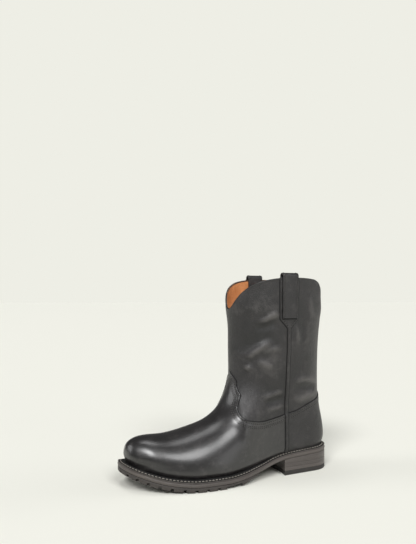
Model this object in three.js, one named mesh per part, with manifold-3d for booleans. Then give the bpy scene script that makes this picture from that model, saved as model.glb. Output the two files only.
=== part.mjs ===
// Roper boot for the left foot: a hollow leather upper on a stacked heel and a lugged forepart.
// Millimetres. X runs from heel to toe, Y to the wearer's left, which is the outer side, Z up.
// The origin is the centre of the heel's face on the floor.
import * as THREE from "three";
import Module from "manifold-3d";

const wasm = await Module();
wasm.setup();

// Overall sizes
const LENGTH = 295.4; // upper, from the back of the heel to the tip of the toe
const BALL_WIDTH = 97; // upper, across the ball
const HEEL_WIDTH = 65.5; // upper, across the heel
const INSTEP = 83.6; // height of the instep over the welt
const LEG = 132; // from the instep up to the dips of the collar
const COLLAR_CREST = 42; // crest of the sides above the dips
const SHAFT_DEPTH = 138; // from the back of the shaft to its front
const SHAFT_WIDTH = 98;
const HEEL_CURVE = 8.6; // how far the shaft's back stands in from the back of the heel
const HEEL_RISE = 16; // of the midsole at the heel's breast over the ball
const TOE_SPRING = 20; // of the midsole at the tip over the ball

// Thicknesses and clearances
const WALL = 2.2; // upper leather with its lining
const OVERLAY = 1.1; // step from the shaft leather up onto the vamp and the counter
const JOINT = 0.3; // between two curved pieces
const WELT = 3;
const MIDSOLE = 4.8;
const RUBBER = 6; // forepart of the outsole, lugs included
const INSOLE = 3;
const STRIP = 1.5; // side seam strip
const STRAP = 2.2; // pull strap, folded leather

// Sole
const WELT_STAND = 5.5; // how far the welt stands out past the upper's sides
const WELT_BEHIND = 3.2; // and past its back
const WELT_AHEAD = 7.5; // and past its toe
const WELT_UNDER = 8; // how far the welt reaches in under the upper
const MIDSOLE_INSET = 0.7;
const WAIST = 41.7; // from the heel's breast to the feathered end of the rubber
const FEATHER_RUN = 38; // over which the rubber comes to its whole thickness
const FEATHER_SHARE = 0.2; // thickness left at the feathered end
const LUG_DEPTH = 3.2;
const LUG_GROOVE = 4;
const LUG_PITCH = 15;
const LUG_REACH = 19; // length of the grooves in from the edge
const BAR_LENGTH = 34; // length of the grooves down the middle

// Heel
const HEEL_LENGTH = 84.6; // from the back to the two front corners
const BREAST_HOLLOW = 4.5;
const TOP_LIFT = 6;
const LIFT = 5;

// Side seams and pull straps
const SEAM_AHEAD = 77.6; // of the back of the heel, down by the sole
const SEAM_LEAN = 4; // how far the seam leans forward by the collar
const STRIP_WIDTH = 5;
const STRAP_WIDTH = 24;
const STRAP_OUTSIDE = 55; // length of the leg outside, below the collar
const STRAP_INSIDE = 55; // length of the leg inside, below the collar
const STRAP_RISE = 6.7; // top of the loop above the collar
const HEAD_BORDER = 2.5; // of the strip's head, past the pull strap's sides
const HEAD_FOOT = 1; // and below the strap's end
const HEAD_POINT = 13; // height of the point under the head

// Rise of the sole's curve by share of the length: behind, as a share of the heel's rise, and
// ahead, as a share of the toe spring
const CAMBER = [
  { share: -0.029, heel: 1.3, toe: 0 },
  { share: 0.066, heel: 1.2, toe: 0 },
  { share: 0.167, heel: 1.11, toe: 0 },
  { share: 0.262, heel: 1, toe: 0 },
  { share: 0.33, heel: 0.79, toe: 0 },
  { share: 0.397, heel: 0.51, toe: 0 },
  { share: 0.465, heel: 0.275, toe: 0 },
  { share: 0.533, heel: 0.094, toe: 0 },
  { share: 0.594, heel: 0, toe: 0 },
  { share: 0.736, heel: 0, toe: 0 },
  { share: 0.783, heel: 0, toe: 0.06 },
  { share: 0.838, heel: 0, toe: 0.17 },
  { share: 0.905, heel: 0, toe: 0.39 },
  { share: 0.973, heel: 0, toe: 0.71 },
  { share: 1.044, heel: 0, toe: 1.13 },
];

// Sections up the boot in side view. The front point lies at a share of the length plus a share
// of the shaft's depth, the back point in from the heel by a share of its curve. Heights run
// from 0 at the welt to 1 at the instep and 2 at the dips. Camber is the share of the sole's
// curve that the section keeps.
const SECTIONS = [
  { foot: 0.9865, depth: 0, front: 0.005, behind: 0.4, back: 0.001, camber: 1 }, // feather line
  { foot: 1, depth: 0, front: 0.164, behind: 0.07, back: 0.119, camber: 0.92 }, // fullest toe
  { foot: 0.983, depth: 0, front: 0.357, behind: 0, back: 0.232, camber: 0.8 },
  { foot: 0.931, depth: 0, front: 0.507, behind: 0.05, back: 0.359, camber: 0.62 }, // toe's top
  { foot: 0.812, depth: 0, front: 0.587, behind: 0.21, back: 0.497, camber: 0.45 },
  { foot: 0.704, depth: 0, front: 0.683, behind: 0.42, back: 0.641, camber: 0.3 }, // ball
  { foot: 0.55, depth: 0.134, front: 0.797, behind: 0.65, back: 0.797, camber: 0.15 },
  { foot: 0.3, depth: 0.52, front: 1, behind: 0.81, back: 0.964, camber: 0.05 }, // instep
  { foot: 0.1, depth: 0.876, front: 1.182, behind: 0.95, back: 1.121, camber: 0 },
  { foot: 0, depth: 1.064, front: 1.394, behind: 1, back: 1.333, camber: 0 }, // ankle
  { foot: 0, depth: 1.061, front: 1.697, behind: 0.98, back: 1.667, camber: 0 },
  { foot: 0, depth: 1.083, front: 2, behind: 0.51, back: 2, camber: 0 }, // dips of the collar
];
const RIDGE_END = 1.32; // height where the ridge over the foot runs into the shaft's front

// Half widths of the upper at its fullest, by share of its length, as shares of the width at
// the heel or at the ball, and how far the sole's edge stands out there, as a share of the
// welt's stand. The first and the last row hold the radius of the rounded end instead.
const LAST = [
  { share: 0, of: HEEL_WIDTH, outer: 0.481, inner: 0.481, outerStand: 0.45, innerStand: 0.45 },
  { share: 0.05, of: HEEL_WIDTH, outer: 0.405, inner: 0.405, outerStand: 0.36, innerStand: 0.36 },
  { share: 0.15, of: HEEL_WIDTH, outer: 0.504, inner: 0.496, outerStand: 0.33, innerStand: 0.35 },
  { share: 0.3, of: HEEL_WIDTH, outer: 0.542, inner: 0.519, outerStand: 0.4, innerStand: 0.1 },
  { share: 0.42, of: BALL_WIDTH, outer: 0.412, inner: 0.376, outerStand: 0.91, innerStand: 0.2 },
  { share: 0.5, of: BALL_WIDTH, outer: 0.459, inner: 0.412, outerStand: 1.18, innerStand: 0.36 },
  { share: 0.62, of: BALL_WIDTH, outer: 0.51, inner: 0.474, outerStand: 1.15, innerStand: 0.5 },
  { share: 0.72, of: BALL_WIDTH, outer: 0.51, inner: 0.49, outerStand: 1.15, innerStand: 0.75 },
  { share: 0.82, of: BALL_WIDTH, outer: 0.469, inner: 0.474, outerStand: 1, innerStand: 0.8 },
  { share: 0.91, of: BALL_WIDTH, outer: 0.366, inner: 0.402, outerStand: 0.95, innerStand: 0.85 },
  { share: 0.96, of: BALL_WIDTH, outer: 0.258, inner: 0.294, outerStand: 0.75, innerStand: 0.85 },
  { share: 1, of: BALL_WIDTH, outer: 0.412, inner: 0.443, outerStand: 0.36, innerStand: 0.73 },
];

// The centre line, which swings to the inner side at the toe, in shares of the ball's width
const SWING = [
  { share: -0.019, aside: 0 },
  { share: 0.279, aside: 0 },
  { share: 0.516, aside: 0.026 },
  { share: 0.675, aside: 0.01 },
  { share: 0.861, aside: -0.041 },
  { share: 1.03, aside: -0.088 },
];

// Half width of the shaft by height, as a share of its width
const SHAFT = [
  { up: 0.545, half: 0.367 },
  { up: 0.904, half: 0.378 },
  { up: 1.129, half: 0.398 },
  { up: 1.394, half: 0.434 },
  { up: 1.773, half: 0.48 },
  { up: 2.076, half: 0.5 },
  { up: 2.417, half: 0.51 },
];

// Rise of the collar from dip to crest, by share of the shaft's depth from back to front
const COLLAR = [
  { share: 0, rise: 0 },
  { share: 0.02, rise: 0.22 },
  { share: 0.06, rise: 0.58 },
  { share: 0.13, rise: 0.85 },
  { share: 0.22, rise: 0.96 },
  { share: 0.42, rise: 1 },
  { share: 0.6, rise: 0.985 },
  { share: 0.75, rise: 0.915 },
  { share: 0.87, rise: 0.755 },
  { share: 0.94, rise: 0.54 },
  { share: 0.98, rise: 0.27 },
  { share: 1, rise: 0 },
];

// Upper edge of vamp and counter in side view, by share of the way from back to front at each
// height: the tongue in front, its scallop, the low point under the ankle, the seam, and the
// counter's rise to the back
const OVERLAY_LINE = [
  { along: 0.99, up: 1.337 },
  { along: 0.977, up: 1.258 },
  { along: 0.964, up: 1.178 },
  { along: 0.935, up: 1.114 },
  { along: 0.94, up: 1.042 },
  { along: 0.929, up: 0.982 },
  { along: 0.889, up: 0.9 },
  { along: 0.818, up: 0.825 },
  { along: 0.729, up: 0.78 },
  { along: 0.613, up: 0.756 },
  { along: 0.528, up: 0.787 },
  { along: 0.429, up: 0.84 },
  { along: 0.344, up: 0.871 },
  { along: 0.274, up: 0.921 },
  { along: 0.196, up: 0.981 },
  { along: 0.082, up: 1.03 },
  { along: 0.031, up: 1.068 },
  { along: -0.019, up: 1.114 },
];

// Fineness of the mesh
const AROUND = 22; // columns on each side of the upper
const BETWEEN = 2; // steps from one section to the next
const STATIONS = 36; // along each layer of the sole
const STATION_EDGE = 0.05; // the first and the last station, as a share of half a turn

// Slopes for a curve through rows which never overshoots them
function calmSlopes(x, y) {
  const last = x.length - 1;
  const rise = x.slice(1).map((v, i) => (y[i + 1] - y[i]) / (v - x[i]));
  return x.map((v, i) => {
    if (i === 0) return rise[0];
    if (i === last) return rise[last - 1];
    if (rise[i - 1] * rise[i] <= 0) return 0;
    const before = x[i] - x[i - 1];
    const after = x[i + 1] - x[i];
    const a = 2 * after + before;
    const b = after + 2 * before;
    return (a + b) / (a / rise[i - 1] + b / rise[i]);
  });
}

// Slopes for a flowing curve through rows
function flowingSlopes(x, y) {
  const last = x.length - 1;
  return x.map((v, i) => {
    const a = Math.max(i - 1, 0);
    const b = Math.min(i + 1, last);
    return (y[b] - y[a]) / (x[b] - x[a]);
  });
}

// The curve itself, as a function held at its end values outside the rows
function curve(x, y, slopes) {
  const m = slopes(x, y);
  const last = x.length - 1;
  return (at) => {
    const v = Math.min(Math.max(at, x[0]), x[last]);
    let i = 0;
    while (i < last - 1 && v > x[i + 1]) i += 1;
    const h = x[i + 1] - x[i];
    const t = (v - x[i]) / h;
    const u = 1 - t;
    const ends = (1 + 2 * t) * u * u * y[i] + t * t * (3 - 2 * t) * y[i + 1];
    return ends + h * (t * u * u * m[i] - t * t * u * m[i + 1]);
  };
}

const column = (rows, key) => rows.map((row) => row[key]);
const calm = (rows, key, value) => curve(column(rows, key), column(rows, value), calmSlopes);

function smooth(from, to, at) {
  const t = Math.min(Math.max((at - from) / (to - from), 0), 1);
  return t * t * (3 - 2 * t);
}

// Linear reading of sampled points, x rising
function reading(samples) {
  const last = samples.length - 1;
  return (at) => {
    if (at <= samples[0][0]) return samples[0][1];
    if (at >= samples[last][0]) return samples[last][1];
    let low = 0;
    let high = last;
    while (high - low > 1) {
      const mid = (low + high) >> 1;
      if (samples[mid][0] <= at) low = mid;
      else high = mid;
    }
    const [x0, y0] = samples[low];
    const [x1, y1] = samples[high];
    return y0 + ((y1 - y0) * (at - x0)) / Math.max(x1 - x0, 1e-9);
  };
}

// Places along the boot
const edgeBack = -HEEL_LENGTH / 2;
const breastX = HEEL_LENGTH / 2;
const heelX = edgeBack + WELT_BEHIND;
const forepartBack = breastX + WAIST;
const forepartFull = forepartBack + FEATHER_RUN;
const shareOf = (x) => (x - heelX) / LENGTH;

// Heights of the sole's layers along the boot
const heelCamber = calm(CAMBER, "share", "heel");
const toeCamber = calm(CAMBER, "share", "toe");
const camber = (x) => HEEL_RISE * heelCamber(shareOf(x)) + TOE_SPRING * toeCamber(shareOf(x));
const midsoleBottom = (x) => RUBBER + JOINT + camber(x);
const weltBottom = (x) => midsoleBottom(x) + MIDSOLE + JOINT;
const weltTop = (x) => weltBottom(x) + WELT;
const forepartTop = (x) => midsoleBottom(x) - JOINT;
function tread(x) {
  const share = FEATHER_SHARE + (1 - FEATHER_SHARE) * smooth(forepartBack, forepartFull, x);
  return forepartTop(x) - RUBBER * share;
}
const swingShare = calm(SWING, "share", "aside");
const swing = (x) => BALL_WIDTH * swingShare(shareOf(x));

// Heights of the upper: 0 at the welt under the ball, 1 at the instep, 2 at the dips
const seat = RUBBER + MIDSOLE + WELT + 2 * JOINT;
const height = (up) => seat + INSTEP * Math.min(up, 1) + LEG * Math.max(up - 1, 0);
const upOf = (z) => Math.min((z - seat) / INSTEP, 1) + Math.max((z - seat - INSTEP) / LEG, 0);
const dipZ = height(2);
const crestZ = dipZ + COLLAR_CREST;

// The sections in millimetres
const cuts = SECTIONS.map((row) => {
  const frontX = heelX + LENGTH * row.foot + SHAFT_DEPTH * row.depth;
  const backX = heelX + HEEL_CURVE * row.behind;
  const frontZ = height(row.front) + row.camber * camber(frontX);
  const backZ = height(row.back) + row.camber * camber(backX);
  return { frontX, frontZ, backX, backZ, camber: row.camber };
});

// Level of each section, by the length of the front line up to it
const levels = cuts.map(() => 0);
for (let i = 1; i < cuts.length; i += 1) {
  const a = cuts[i - 1];
  const b = cuts[i];
  levels[i] = levels[i - 1] + Math.hypot(b.frontX - a.frontX, b.frontZ - a.frontZ);
}
const sectionCurve = (key) => curve(levels, column(cuts, key), flowingSlopes);
const frontXAt = sectionCurve("frontX");
const frontZAt = sectionCurve("frontZ");
const backXAt = sectionCurve("backX");
const backZAt = sectionCurve("backZ");
const keptAt = sectionCurve("camber");

// The side view's outline, sampled once for reading it by height or by length
const SAMPLES = 600;
const outline = [];
for (let i = 0; i <= SAMPLES; i += 1) {
  const v = (levels[levels.length - 1] * i) / SAMPLES;
  outline.push({ fx: frontXAt(v), fz: frontZAt(v), bx: backXAt(v), bz: backZAt(v) });
}
const toe = outline.reduce((a, b) => (b.fx > a.fx ? b : a));
const toeAt = outline.indexOf(toe);
const heelBack = Math.min(...outline.map((p) => p.bx));
const underToe = reading(outline.slice(0, toeAt + 1).map((p) => [p.fz, p.fx]));
const overToe = reading(outline.slice(toeAt).map((p) => [p.fz, p.fx]));
const backX = reading(outline.map((p) => [p.bz, p.bx]));
const ridgePoints = outline.slice(toeAt).filter((p) => p.fz <= height(RIDGE_END)).reverse();
const ridgeRead = reading(ridgePoints.map((p) => [p.fx, p.fz]));
const ridgeBack = ridgePoints[0];
const SHAFT_STEEPNESS = 40; // the ridge climbs this steeply behind the front of the shaft
function ridgeZ(x) {
  if (x >= ridgeBack.fx) return ridgeRead(x);
  return ridgeBack.fz + (ridgeBack.fx - x) * SHAFT_STEEPNESS;
}

// Half widths in plan, round at both ends
function planHalf(width, length) {
  const share = column(LAST, "share");
  const last = LAST.length - 1;
  const full = LAST.map((row, i) => {
    if (i === 0 || i === last) return Math.sqrt((width(row) * length) / 2);
    return width(row) / (2 * Math.sqrt(share[i] * (1 - share[i])));
  });
  const read = curve(share, full, flowingSlopes);
  return (s) => read(s) * 2 * Math.sqrt(Math.max(s * (1 - s), 0));
}
const lastLength = toe.fx - heelBack;
const lastHalf = {
  outer: planHalf((row) => row.of * row.outer, lastLength),
  inner: planHalf((row) => row.of * row.inner, lastLength),
};
const shaftShare = calm(SHAFT, "up", "half");
const shaftHalf = (z) => SHAFT_WIDTH * shaftShare(upOf(z));

const SHAFT_FROM = 0.69; // the foot's section gives way to the shaft's between these heights
const SHAFT_TO = 1.28;
const blendAt = (z) => smooth(height(SHAFT_FROM), height(SHAFT_TO), z);
const SIDE_FULLNESS = 2.3; // how square the foot's section is
const SHAFT_FULLNESS = 2.15; // how square the shaft's section is
const TUCK = 0.085; // share by which the upper draws in at the feather line
const TUCK_HEIGHT = 10;

// Half width of the upper at a length and a height
function halfWidth(x, z, side) {
  const back = backX(z);
  const tip = z < toe.fz ? underToe(z) : toe.fx;
  const share = Math.min(Math.max((x - back) / (tip - back), 0), 1);
  const sole = weltTop(x);
  const up = Math.min(Math.max((z - sole) / (ridgeZ(x) - sole), 0), 1);
  const drawn = Math.min(Math.max(1 - (z - sole) / TUCK_HEIGHT, 0), 1);
  const section = Math.sqrt(1 - up ** SIDE_FULLNESS) * (1 - TUCK * drawn * drawn);
  const foot = lastHalf[side](share) * section;
  const front = z < toe.fz ? underToe(z) : overToe(z);
  const along = Math.abs(x - (front + back) / 2) / ((front - back) / 2);
  const shaft = shaftHalf(z) * Math.sqrt(Math.max(1 - along ** SHAFT_FULLNESS, 0));
  const blend = blendAt(z);
  return (1 - blend) * foot + blend * shaft;
}
const centreY = (x, z) => swing(x) * (1 - blendAt(z));
const seamX = (z) => heelX + SEAM_AHEAD + SEAM_LEAN * smooth(height(0.55), crestZ, z);

// One section of the upper: points from the back along the outer side to the front, and home
// along the inner side
function section(level, lift) {
  const back = backXAt(level);
  const front = frontXAt(level);
  const backZ = backZAt(level);
  const frontZ = frontZAt(level);
  const chord = (x) => (x - back) / (front - back);
  const straight = (x) => camber(back) + (camber(front) - camber(back)) * chord(x);
  const seam = seamX((backZ + frontZ) / 2);
  const points = [];
  for (let i = 0; i < 2 * AROUND; i += 1) {
    const side = i <= AROUND ? "outer" : "inner";
    const turn = (i <= AROUND ? i : 2 * AROUND - i) / (AROUND / 2);
    const quarter = Math.PI / 2;
    let x = back + (seam - back) * (1 - Math.cos(quarter * turn));
    if (turn > 1) x = front - (front - seam) * (1 - Math.cos(quarter * (2 - turn)));
    const z = backZ + (frontZ - backZ) * chord(x) + keptAt(level) * (camber(x) - straight(x));
    const half = halfWidth(x, z + Math.max(lift, 0), side);
    const y = centreY(x, z) + (side === "outer" ? half : -half);
    points.push(new THREE.Vector3(x, y, z + lift));
  }
  return points;
}

const BELOW = 40; // the form runs on past the feather line and the collar, to be cut there
const ABOVE = [22, 46, 70];
const top = levels[levels.length - 1];
const rings = [section(0, -BELOW)];
for (let i = 0; i < levels.length - 1; i += 1) {
  for (let k = 0; k < BETWEEN; k += 1) {
    rings.push(section(levels[i] + ((levels[i + 1] - levels[i]) * k) / BETWEEN, 0));
  }
}
rings.push(section(top, 0));
for (const lift of ABOVE) rings.push(section(top, lift));

// Outward directions of the form's points
const outward = rings.map((ring, i) =>
  ring.map((point, j) => {
    const count = ring.length;
    const around = ring[(j + 1) % count].clone().sub(ring[(j + count - 1) % count]);
    const above = rings[Math.min(i + 1, rings.length - 1)][j];
    const below = rings[Math.max(i - 1, 0)][j];
    return above.clone().sub(below).cross(around).normalize();
  }),
);

// A closed solid from triangles, turned to face outwards
function solid(vertices, triangles) {
  const mesh = (faces) =>
    new wasm.Manifold(
      new wasm.Mesh({
        numProp: 3,
        vertProperties: new Float32Array(vertices),
        triVerts: new Uint32Array(faces),
      }),
    );
  const made = mesh(triangles);
  if (made.volume() > 0) return made;
  const turned = [];
  for (let i = 0; i < triangles.length; i += 3) {
    turned.push(triangles[i], triangles[i + 2], triangles[i + 1]);
  }
  return mesh(turned);
}

// A solid from rings of equally many points, with both ends closed
function lofted(loops, closeWithFan) {
  const count = loops[0].length;
  const vertices = loops.flatMap((loop) => loop.flatMap((p) => [p.x, p.y, p.z]));
  const triangles = [];
  for (let i = 0; i < loops.length - 1; i += 1) {
    for (let j = 0; j < count; j += 1) {
      const a = i * count + j;
      const b = i * count + ((j + 1) % count);
      triangles.push(a, b, b + count, a, b + count, a + count);
    }
  }
  const last = (loops.length - 1) * count;
  if (closeWithFan) {
    for (const [start, flip] of [[0, true], [last, false]]) {
      const centre = new THREE.Vector3();
      for (const p of loops[start / count]) centre.add(p);
      centre.divideScalar(count);
      const hub = vertices.length / 3;
      vertices.push(centre.x, centre.y, centre.z);
      for (let j = 0; j < count; j += 1) {
        const a = start + j;
        const b = start + ((j + 1) % count);
        if (flip) triangles.push(hub, b, a);
        else triangles.push(hub, a, b);
      }
    }
    return solid(vertices, triangles);
  }
  for (let j = 1; j < count - 1; j += 1) {
    triangles.push(0, j + 1, j, last, last + j, last + j + 1);
  }
  return solid(vertices, triangles);
}

// A flat outline pushed straight through: "y" takes points (x, z), "z" takes points (x, y)
function pushed(points, from, to, along) {
  const flat = points.map(([a, b]) => new THREE.Vector2(a, b));
  const place = (p, depth) => (along === "y" ? [p.x, depth, p.y] : [p.x, p.y, depth]);
  const faces = THREE.ShapeUtils.triangulateShape(flat, []);
  const count = flat.length;
  const vertices = [...flat.flatMap((p) => place(p, from)), ...flat.flatMap((p) => place(p, to))];
  const clockwise = THREE.ShapeUtils.area(flat) < 0;
  const triangles = [];
  for (const [a, b, c] of faces) {
    triangles.push(a, c, b, a + count, b + count, c + count);
  }
  for (let i = 0; i < count; i += 1) {
    const j = (i + 1) % count;
    const around = clockwise ? [j, i] : [i, j];
    triangles.push(around[0], around[1], around[1] + count);
    triangles.push(around[0], around[1] + count, around[0] + count);
  }
  return solid(vertices, triangles);
}

const FAR = 400; // well outside the boot

// The upper's own form, grown or shrunk, without and with the raised vamp and counter
function plainForm(grow) {
  const loops = rings.map((ring, i) =>
    ring.map((point, j) => {
      const step = outward[i][j].clone();
      if (i === 0 || i > rings.length - 1 - ABOVE.length) step.setZ(0).normalize();
      return point.clone().addScaledVector(step, grow);
    }),
  );
  return lofted(loops, true);
}
function overlayCut(grow) {
  const line = OVERLAY_LINE.map((row) => {
    const z = height(row.up);
    const x = backX(z) + (overToe(z) - backX(z)) * row.along;
    return [x - grow, z + grow];
  });
  const first = line[0];
  const last = line[line.length - 1];
  return pushed(
    [[-FAR, -FAR], [FAR, -FAR], [FAR, first[1]], ...line, [-FAR, last[1]]],
    -FAR,
    FAR,
    "y",
  );
}
function raisedForm(grow) {
  return plainForm(grow).add(plainForm(grow + OVERLAY).intersect(overlayCut(grow)));
}

// The collar's line in side view, as a function of length
const collarBack = backXAt(top);
const collarFront = frontXAt(top);
const collarRise = calm(COLLAR, "share", "rise");
const collarZ = (x) => dipZ + COLLAR_CREST * collarRise((x - collarBack) / (collarFront - collarBack));

// Everything between a line over the sole and the collar's line, or a second line over the sole
const SOLE_STEPS = 44;
const PAST = 20; // how far these lines run past the boot
function soleLine(heightAt) {
  const points = [];
  for (let i = 0; i <= SOLE_STEPS; i += 1) {
    const x = heelX - PAST + ((toe.fx - heelX + 2 * PAST) * i) / SOLE_STEPS;
    points.push([x, heightAt(x)]);
  }
  return points;
}
function soleBand(low, high) {
  return pushed([...soleLine(low), ...soleLine(high).reverse()], -FAR, FAR, "y");
}
function upperBand(low) {
  const points = soleLine(low);
  points.push([toe.fx + PAST, dipZ]);
  const steps = 30;
  for (let i = 0; i <= steps; i += 1) {
    const share = (1 + Math.cos((Math.PI * i) / steps)) / 2;
    const x = collarBack + (collarFront - collarBack) * share;
    points.push([x, collarZ(x)]);
  }
  points.push([heelX - PAST, dipZ]);
  return pushed(points, -FAR, FAR, "y");
}
const overWelt = upperBand((x) => weltTop(x) + JOINT);

const upper = raisedForm(0).subtract(plainForm(-WALL)).intersect(overWelt);

// Edge of the sole in plan, drawn in by an inset
const edgeFront = toe.fx + WELT_AHEAD;
const edgeLength = edgeFront - edgeBack;
const edgeHalf = {
  outer: planHalf((row) => row.of * row.outer + WELT_STAND * row.outerStand, edgeLength),
  inner: planHalf((row) => row.of * row.inner + WELT_STAND * row.innerStand, edgeLength),
};
function plan(back, front, half, inset) {
  const sides = {};
  for (const [side, sign] of [["outer", 1], ["inner", -1]]) {
    const line = [];
    for (let i = 0; i <= 160; i += 1) {
      const share = (1 - Math.cos((Math.PI * i) / 160)) / 2;
      const x = back + (front - back) * share;
      line.push([x, half(x, share, side) * sign + swing(x)]);
    }
    const moved = line.map(([x, y], i) => {
      if (i === 0) return [x + inset, swing(x)];
      if (i === line.length - 1) return [x - inset, swing(x)];
      const dx = line[i + 1][0] - line[i - 1][0];
      const dy = line[i + 1][1] - line[i - 1][1];
      const length = Math.hypot(dx, dy);
      return [x + (sign * inset * dy) / length, y - (sign * inset * dx) / length];
    });
    sides[side] = reading(moved);
  }
  return { back: back + inset, front: front - inset, ...sides };
}
const edgePlan = (inset) =>
  plan(edgeBack, edgeFront, (x, share, side) => edgeHalf[side](share), inset);
const featherPlan = (inset) =>
  plan(
    backX(weltTop(heelBack)),
    underToe(weltTop(toe.fx)),
    (x, share, side) => halfWidth(x, weltTop(x), side),
    inset,
  );

// A layer of the sole between two heights, each a function of length
function layer(shape, bottomAt, topAt, from, to) {
  const loops = [];
  for (let i = 0; i <= STATIONS; i += 1) {
    const turn = Math.PI * (STATION_EDGE / 2 + ((1 - STATION_EDGE) * i) / STATIONS);
    const x = shape.back + ((shape.front - shape.back) * (1 - Math.cos(turn))) / 2;
    if (x > from && x < to) loops.push(x);
  }
  if (shape.back < from) loops.unshift(from);
  if (shape.front > to) loops.push(to);
  return lofted(
    loops.map((x) => [
      new THREE.Vector3(x, shape.inner(x), bottomAt(x)),
      new THREE.Vector3(x, shape.outer(x), bottomAt(x)),
      new THREE.Vector3(x, shape.outer(x), topAt(x)),
      new THREE.Vector3(x, shape.inner(x), topAt(x)),
    ]),
    false,
  );
}

const weltHole = featherPlan(WELT_UNDER);
const CUT = 6; // how far a cutting form runs past what it cuts
const welt = layer(edgePlan(0), weltBottom, weltTop, -FAR, FAR).subtract(
  layer(weltHole, (x) => weltBottom(x) - CUT, (x) => weltTop(x) + CUT, -FAR, FAR),
);
const midsole = layer(
  edgePlan(MIDSOLE_INSET),
  midsoleBottom,
  (x) => midsoleBottom(x) + MIDSOLE,
  -FAR,
  FAR,
);

// Insole: a board inside the upper's wall, and its rib down inside the welt
const board = plainForm(-WALL - JOINT).intersect(
  soleBand((x) => weltTop(x) + JOINT, (x) => weltTop(x) + JOINT + INSOLE),
);
const rib = layer(
  featherPlan(WELT_UNDER + JOINT),
  weltBottom,
  (x) => weltTop(x) + JOINT + INSOLE / 2,
  -FAR,
  FAR,
);
const insole = board.add(rib);

// A groove under the forepart from one point to another, as deep as the lugs
function groove(from, to) {
  const run = to.clone().sub(from).normalize();
  const across = new THREE.Vector2(-run.y, run.x).multiplyScalar(LUG_GROOVE / 2);
  const corners = [
    from.clone().add(across),
    from.clone().sub(across),
    to.clone().sub(across),
    to.clone().add(across),
  ];
  const low = corners.map((p) => new THREE.Vector3(p.x, p.y, tread(p.x) - CUT));
  const high = corners.map((p) => new THREE.Vector3(p.x, p.y, tread(p.x) + LUG_DEPTH));
  return lofted([low, high], false);
}

const forepartPlan = edgePlan(0);
let outsole = layer(forepartPlan, tread, forepartTop, forepartBack, FAR);
for (const side of ["outer", "inner"]) {
  const sign = side === "outer" ? 1 : -1;
  let run = LUG_PITCH / 2;
  for (let x = forepartFull - LUG_GROOVE; x < edgeFront - 1; x += 0.5) {
    const here = new THREE.Vector2(x, forepartPlan[side](x));
    const next = new THREE.Vector2(x + 0.5, forepartPlan[side](x + 0.5));
    run += here.distanceTo(next);
    if (run < LUG_PITCH) continue;
    run -= LUG_PITCH;
    const tangent = next.sub(here).normalize();
    const inward = new THREE.Vector2(sign * tangent.y, -sign * tangent.x);
    const outer = here.clone().addScaledVector(inward, -CUT);
    const inner = here.clone().addScaledVector(inward, LUG_REACH);
    outsole = outsole.subtract(groove(outer, inner));
  }
}
for (let x = forepartFull + LUG_GROOVE; x < edgeFront - 2 * LUG_REACH; x += LUG_PITCH) {
  const middle = swing(x);
  const from = new THREE.Vector2(x, middle - BAR_LENGTH / 2);
  const to = new THREE.Vector2(x, middle + BAR_LENGTH / 2);
  outsole = outsole.subtract(groove(from, to));
}

// Heel: layers cut at a hollow breast
const heelPlan = edgePlan(0);
const breastHalf = heelPlan.outer(breastX);
const breast = [[FAR, breastHalf * 3], [breastX, breastHalf * 3]];
for (let i = 10; i >= -10; i -= 1) {
  const share = i / 10;
  breast.push([breastX - BREAST_HOLLOW * (1 - share * share), breastHalf * share]);
}
breast.push([breastX, -breastHalf * 3], [FAR, -breastHalf * 3]);
const breastCut = pushed(breast, -FAR, FAR, "z");
const heelLayer = (bottomAt, topAt) =>
  layer(heelPlan, bottomAt, topAt, -FAR, breastX + CUT).subtract(breastCut);
const topLift = heelLayer(() => 0, () => TOP_LIFT);
const liftOne = heelLayer(() => TOP_LIFT, () => TOP_LIFT + LIFT);
const liftTwo = heelLayer(() => TOP_LIFT + LIFT, () => TOP_LIFT + 2 * LIFT);
const liftThree = heelLayer(() => TOP_LIFT + 2 * LIFT, (x) => midsoleBottom(x) - JOINT);

// Side seam strip: narrow over the seam, with a house-shaped head under the pull strap
const strapFootZ = crestZ - STRAP_OUTSIDE;
const shoulderZ = strapFootZ - HEAD_FOOT;
const headHalf = STRAP_WIDTH / 2 + HEAD_BORDER;
const stripLine = [
  { z: 0, half: STRIP_WIDTH / 2 },
  { z: shoulderZ - HEAD_POINT, half: STRIP_WIDTH / 2 },
  { z: shoulderZ, half: headHalf },
  { z: crestZ + CUT, half: headHalf },
];
const stripForm = raisedForm(JOINT + STRIP).subtract(raisedForm(JOINT)).intersect(overWelt);
function seamStrip(sign) {
  const points = [];
  const rows = [];
  for (const row of stripLine) {
    const before = rows[rows.length - 1];
    if (before) {
      for (let k = 1; k < 4; k += 1) {
        const t = k / 4;
        const half = before.half + (row.half - before.half) * t;
        rows.push({ z: before.z + (row.z - before.z) * t, half });
      }
    }
    rows.push(row);
  }
  for (const row of rows) points.push([seamX(row.z) - row.half, row.z]);
  for (const row of rows.reverse()) points.push([seamX(row.z) + row.half, row.z]);
  return stripForm.intersect(pushed(points, 0, sign * FAR, "y"));
}

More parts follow.
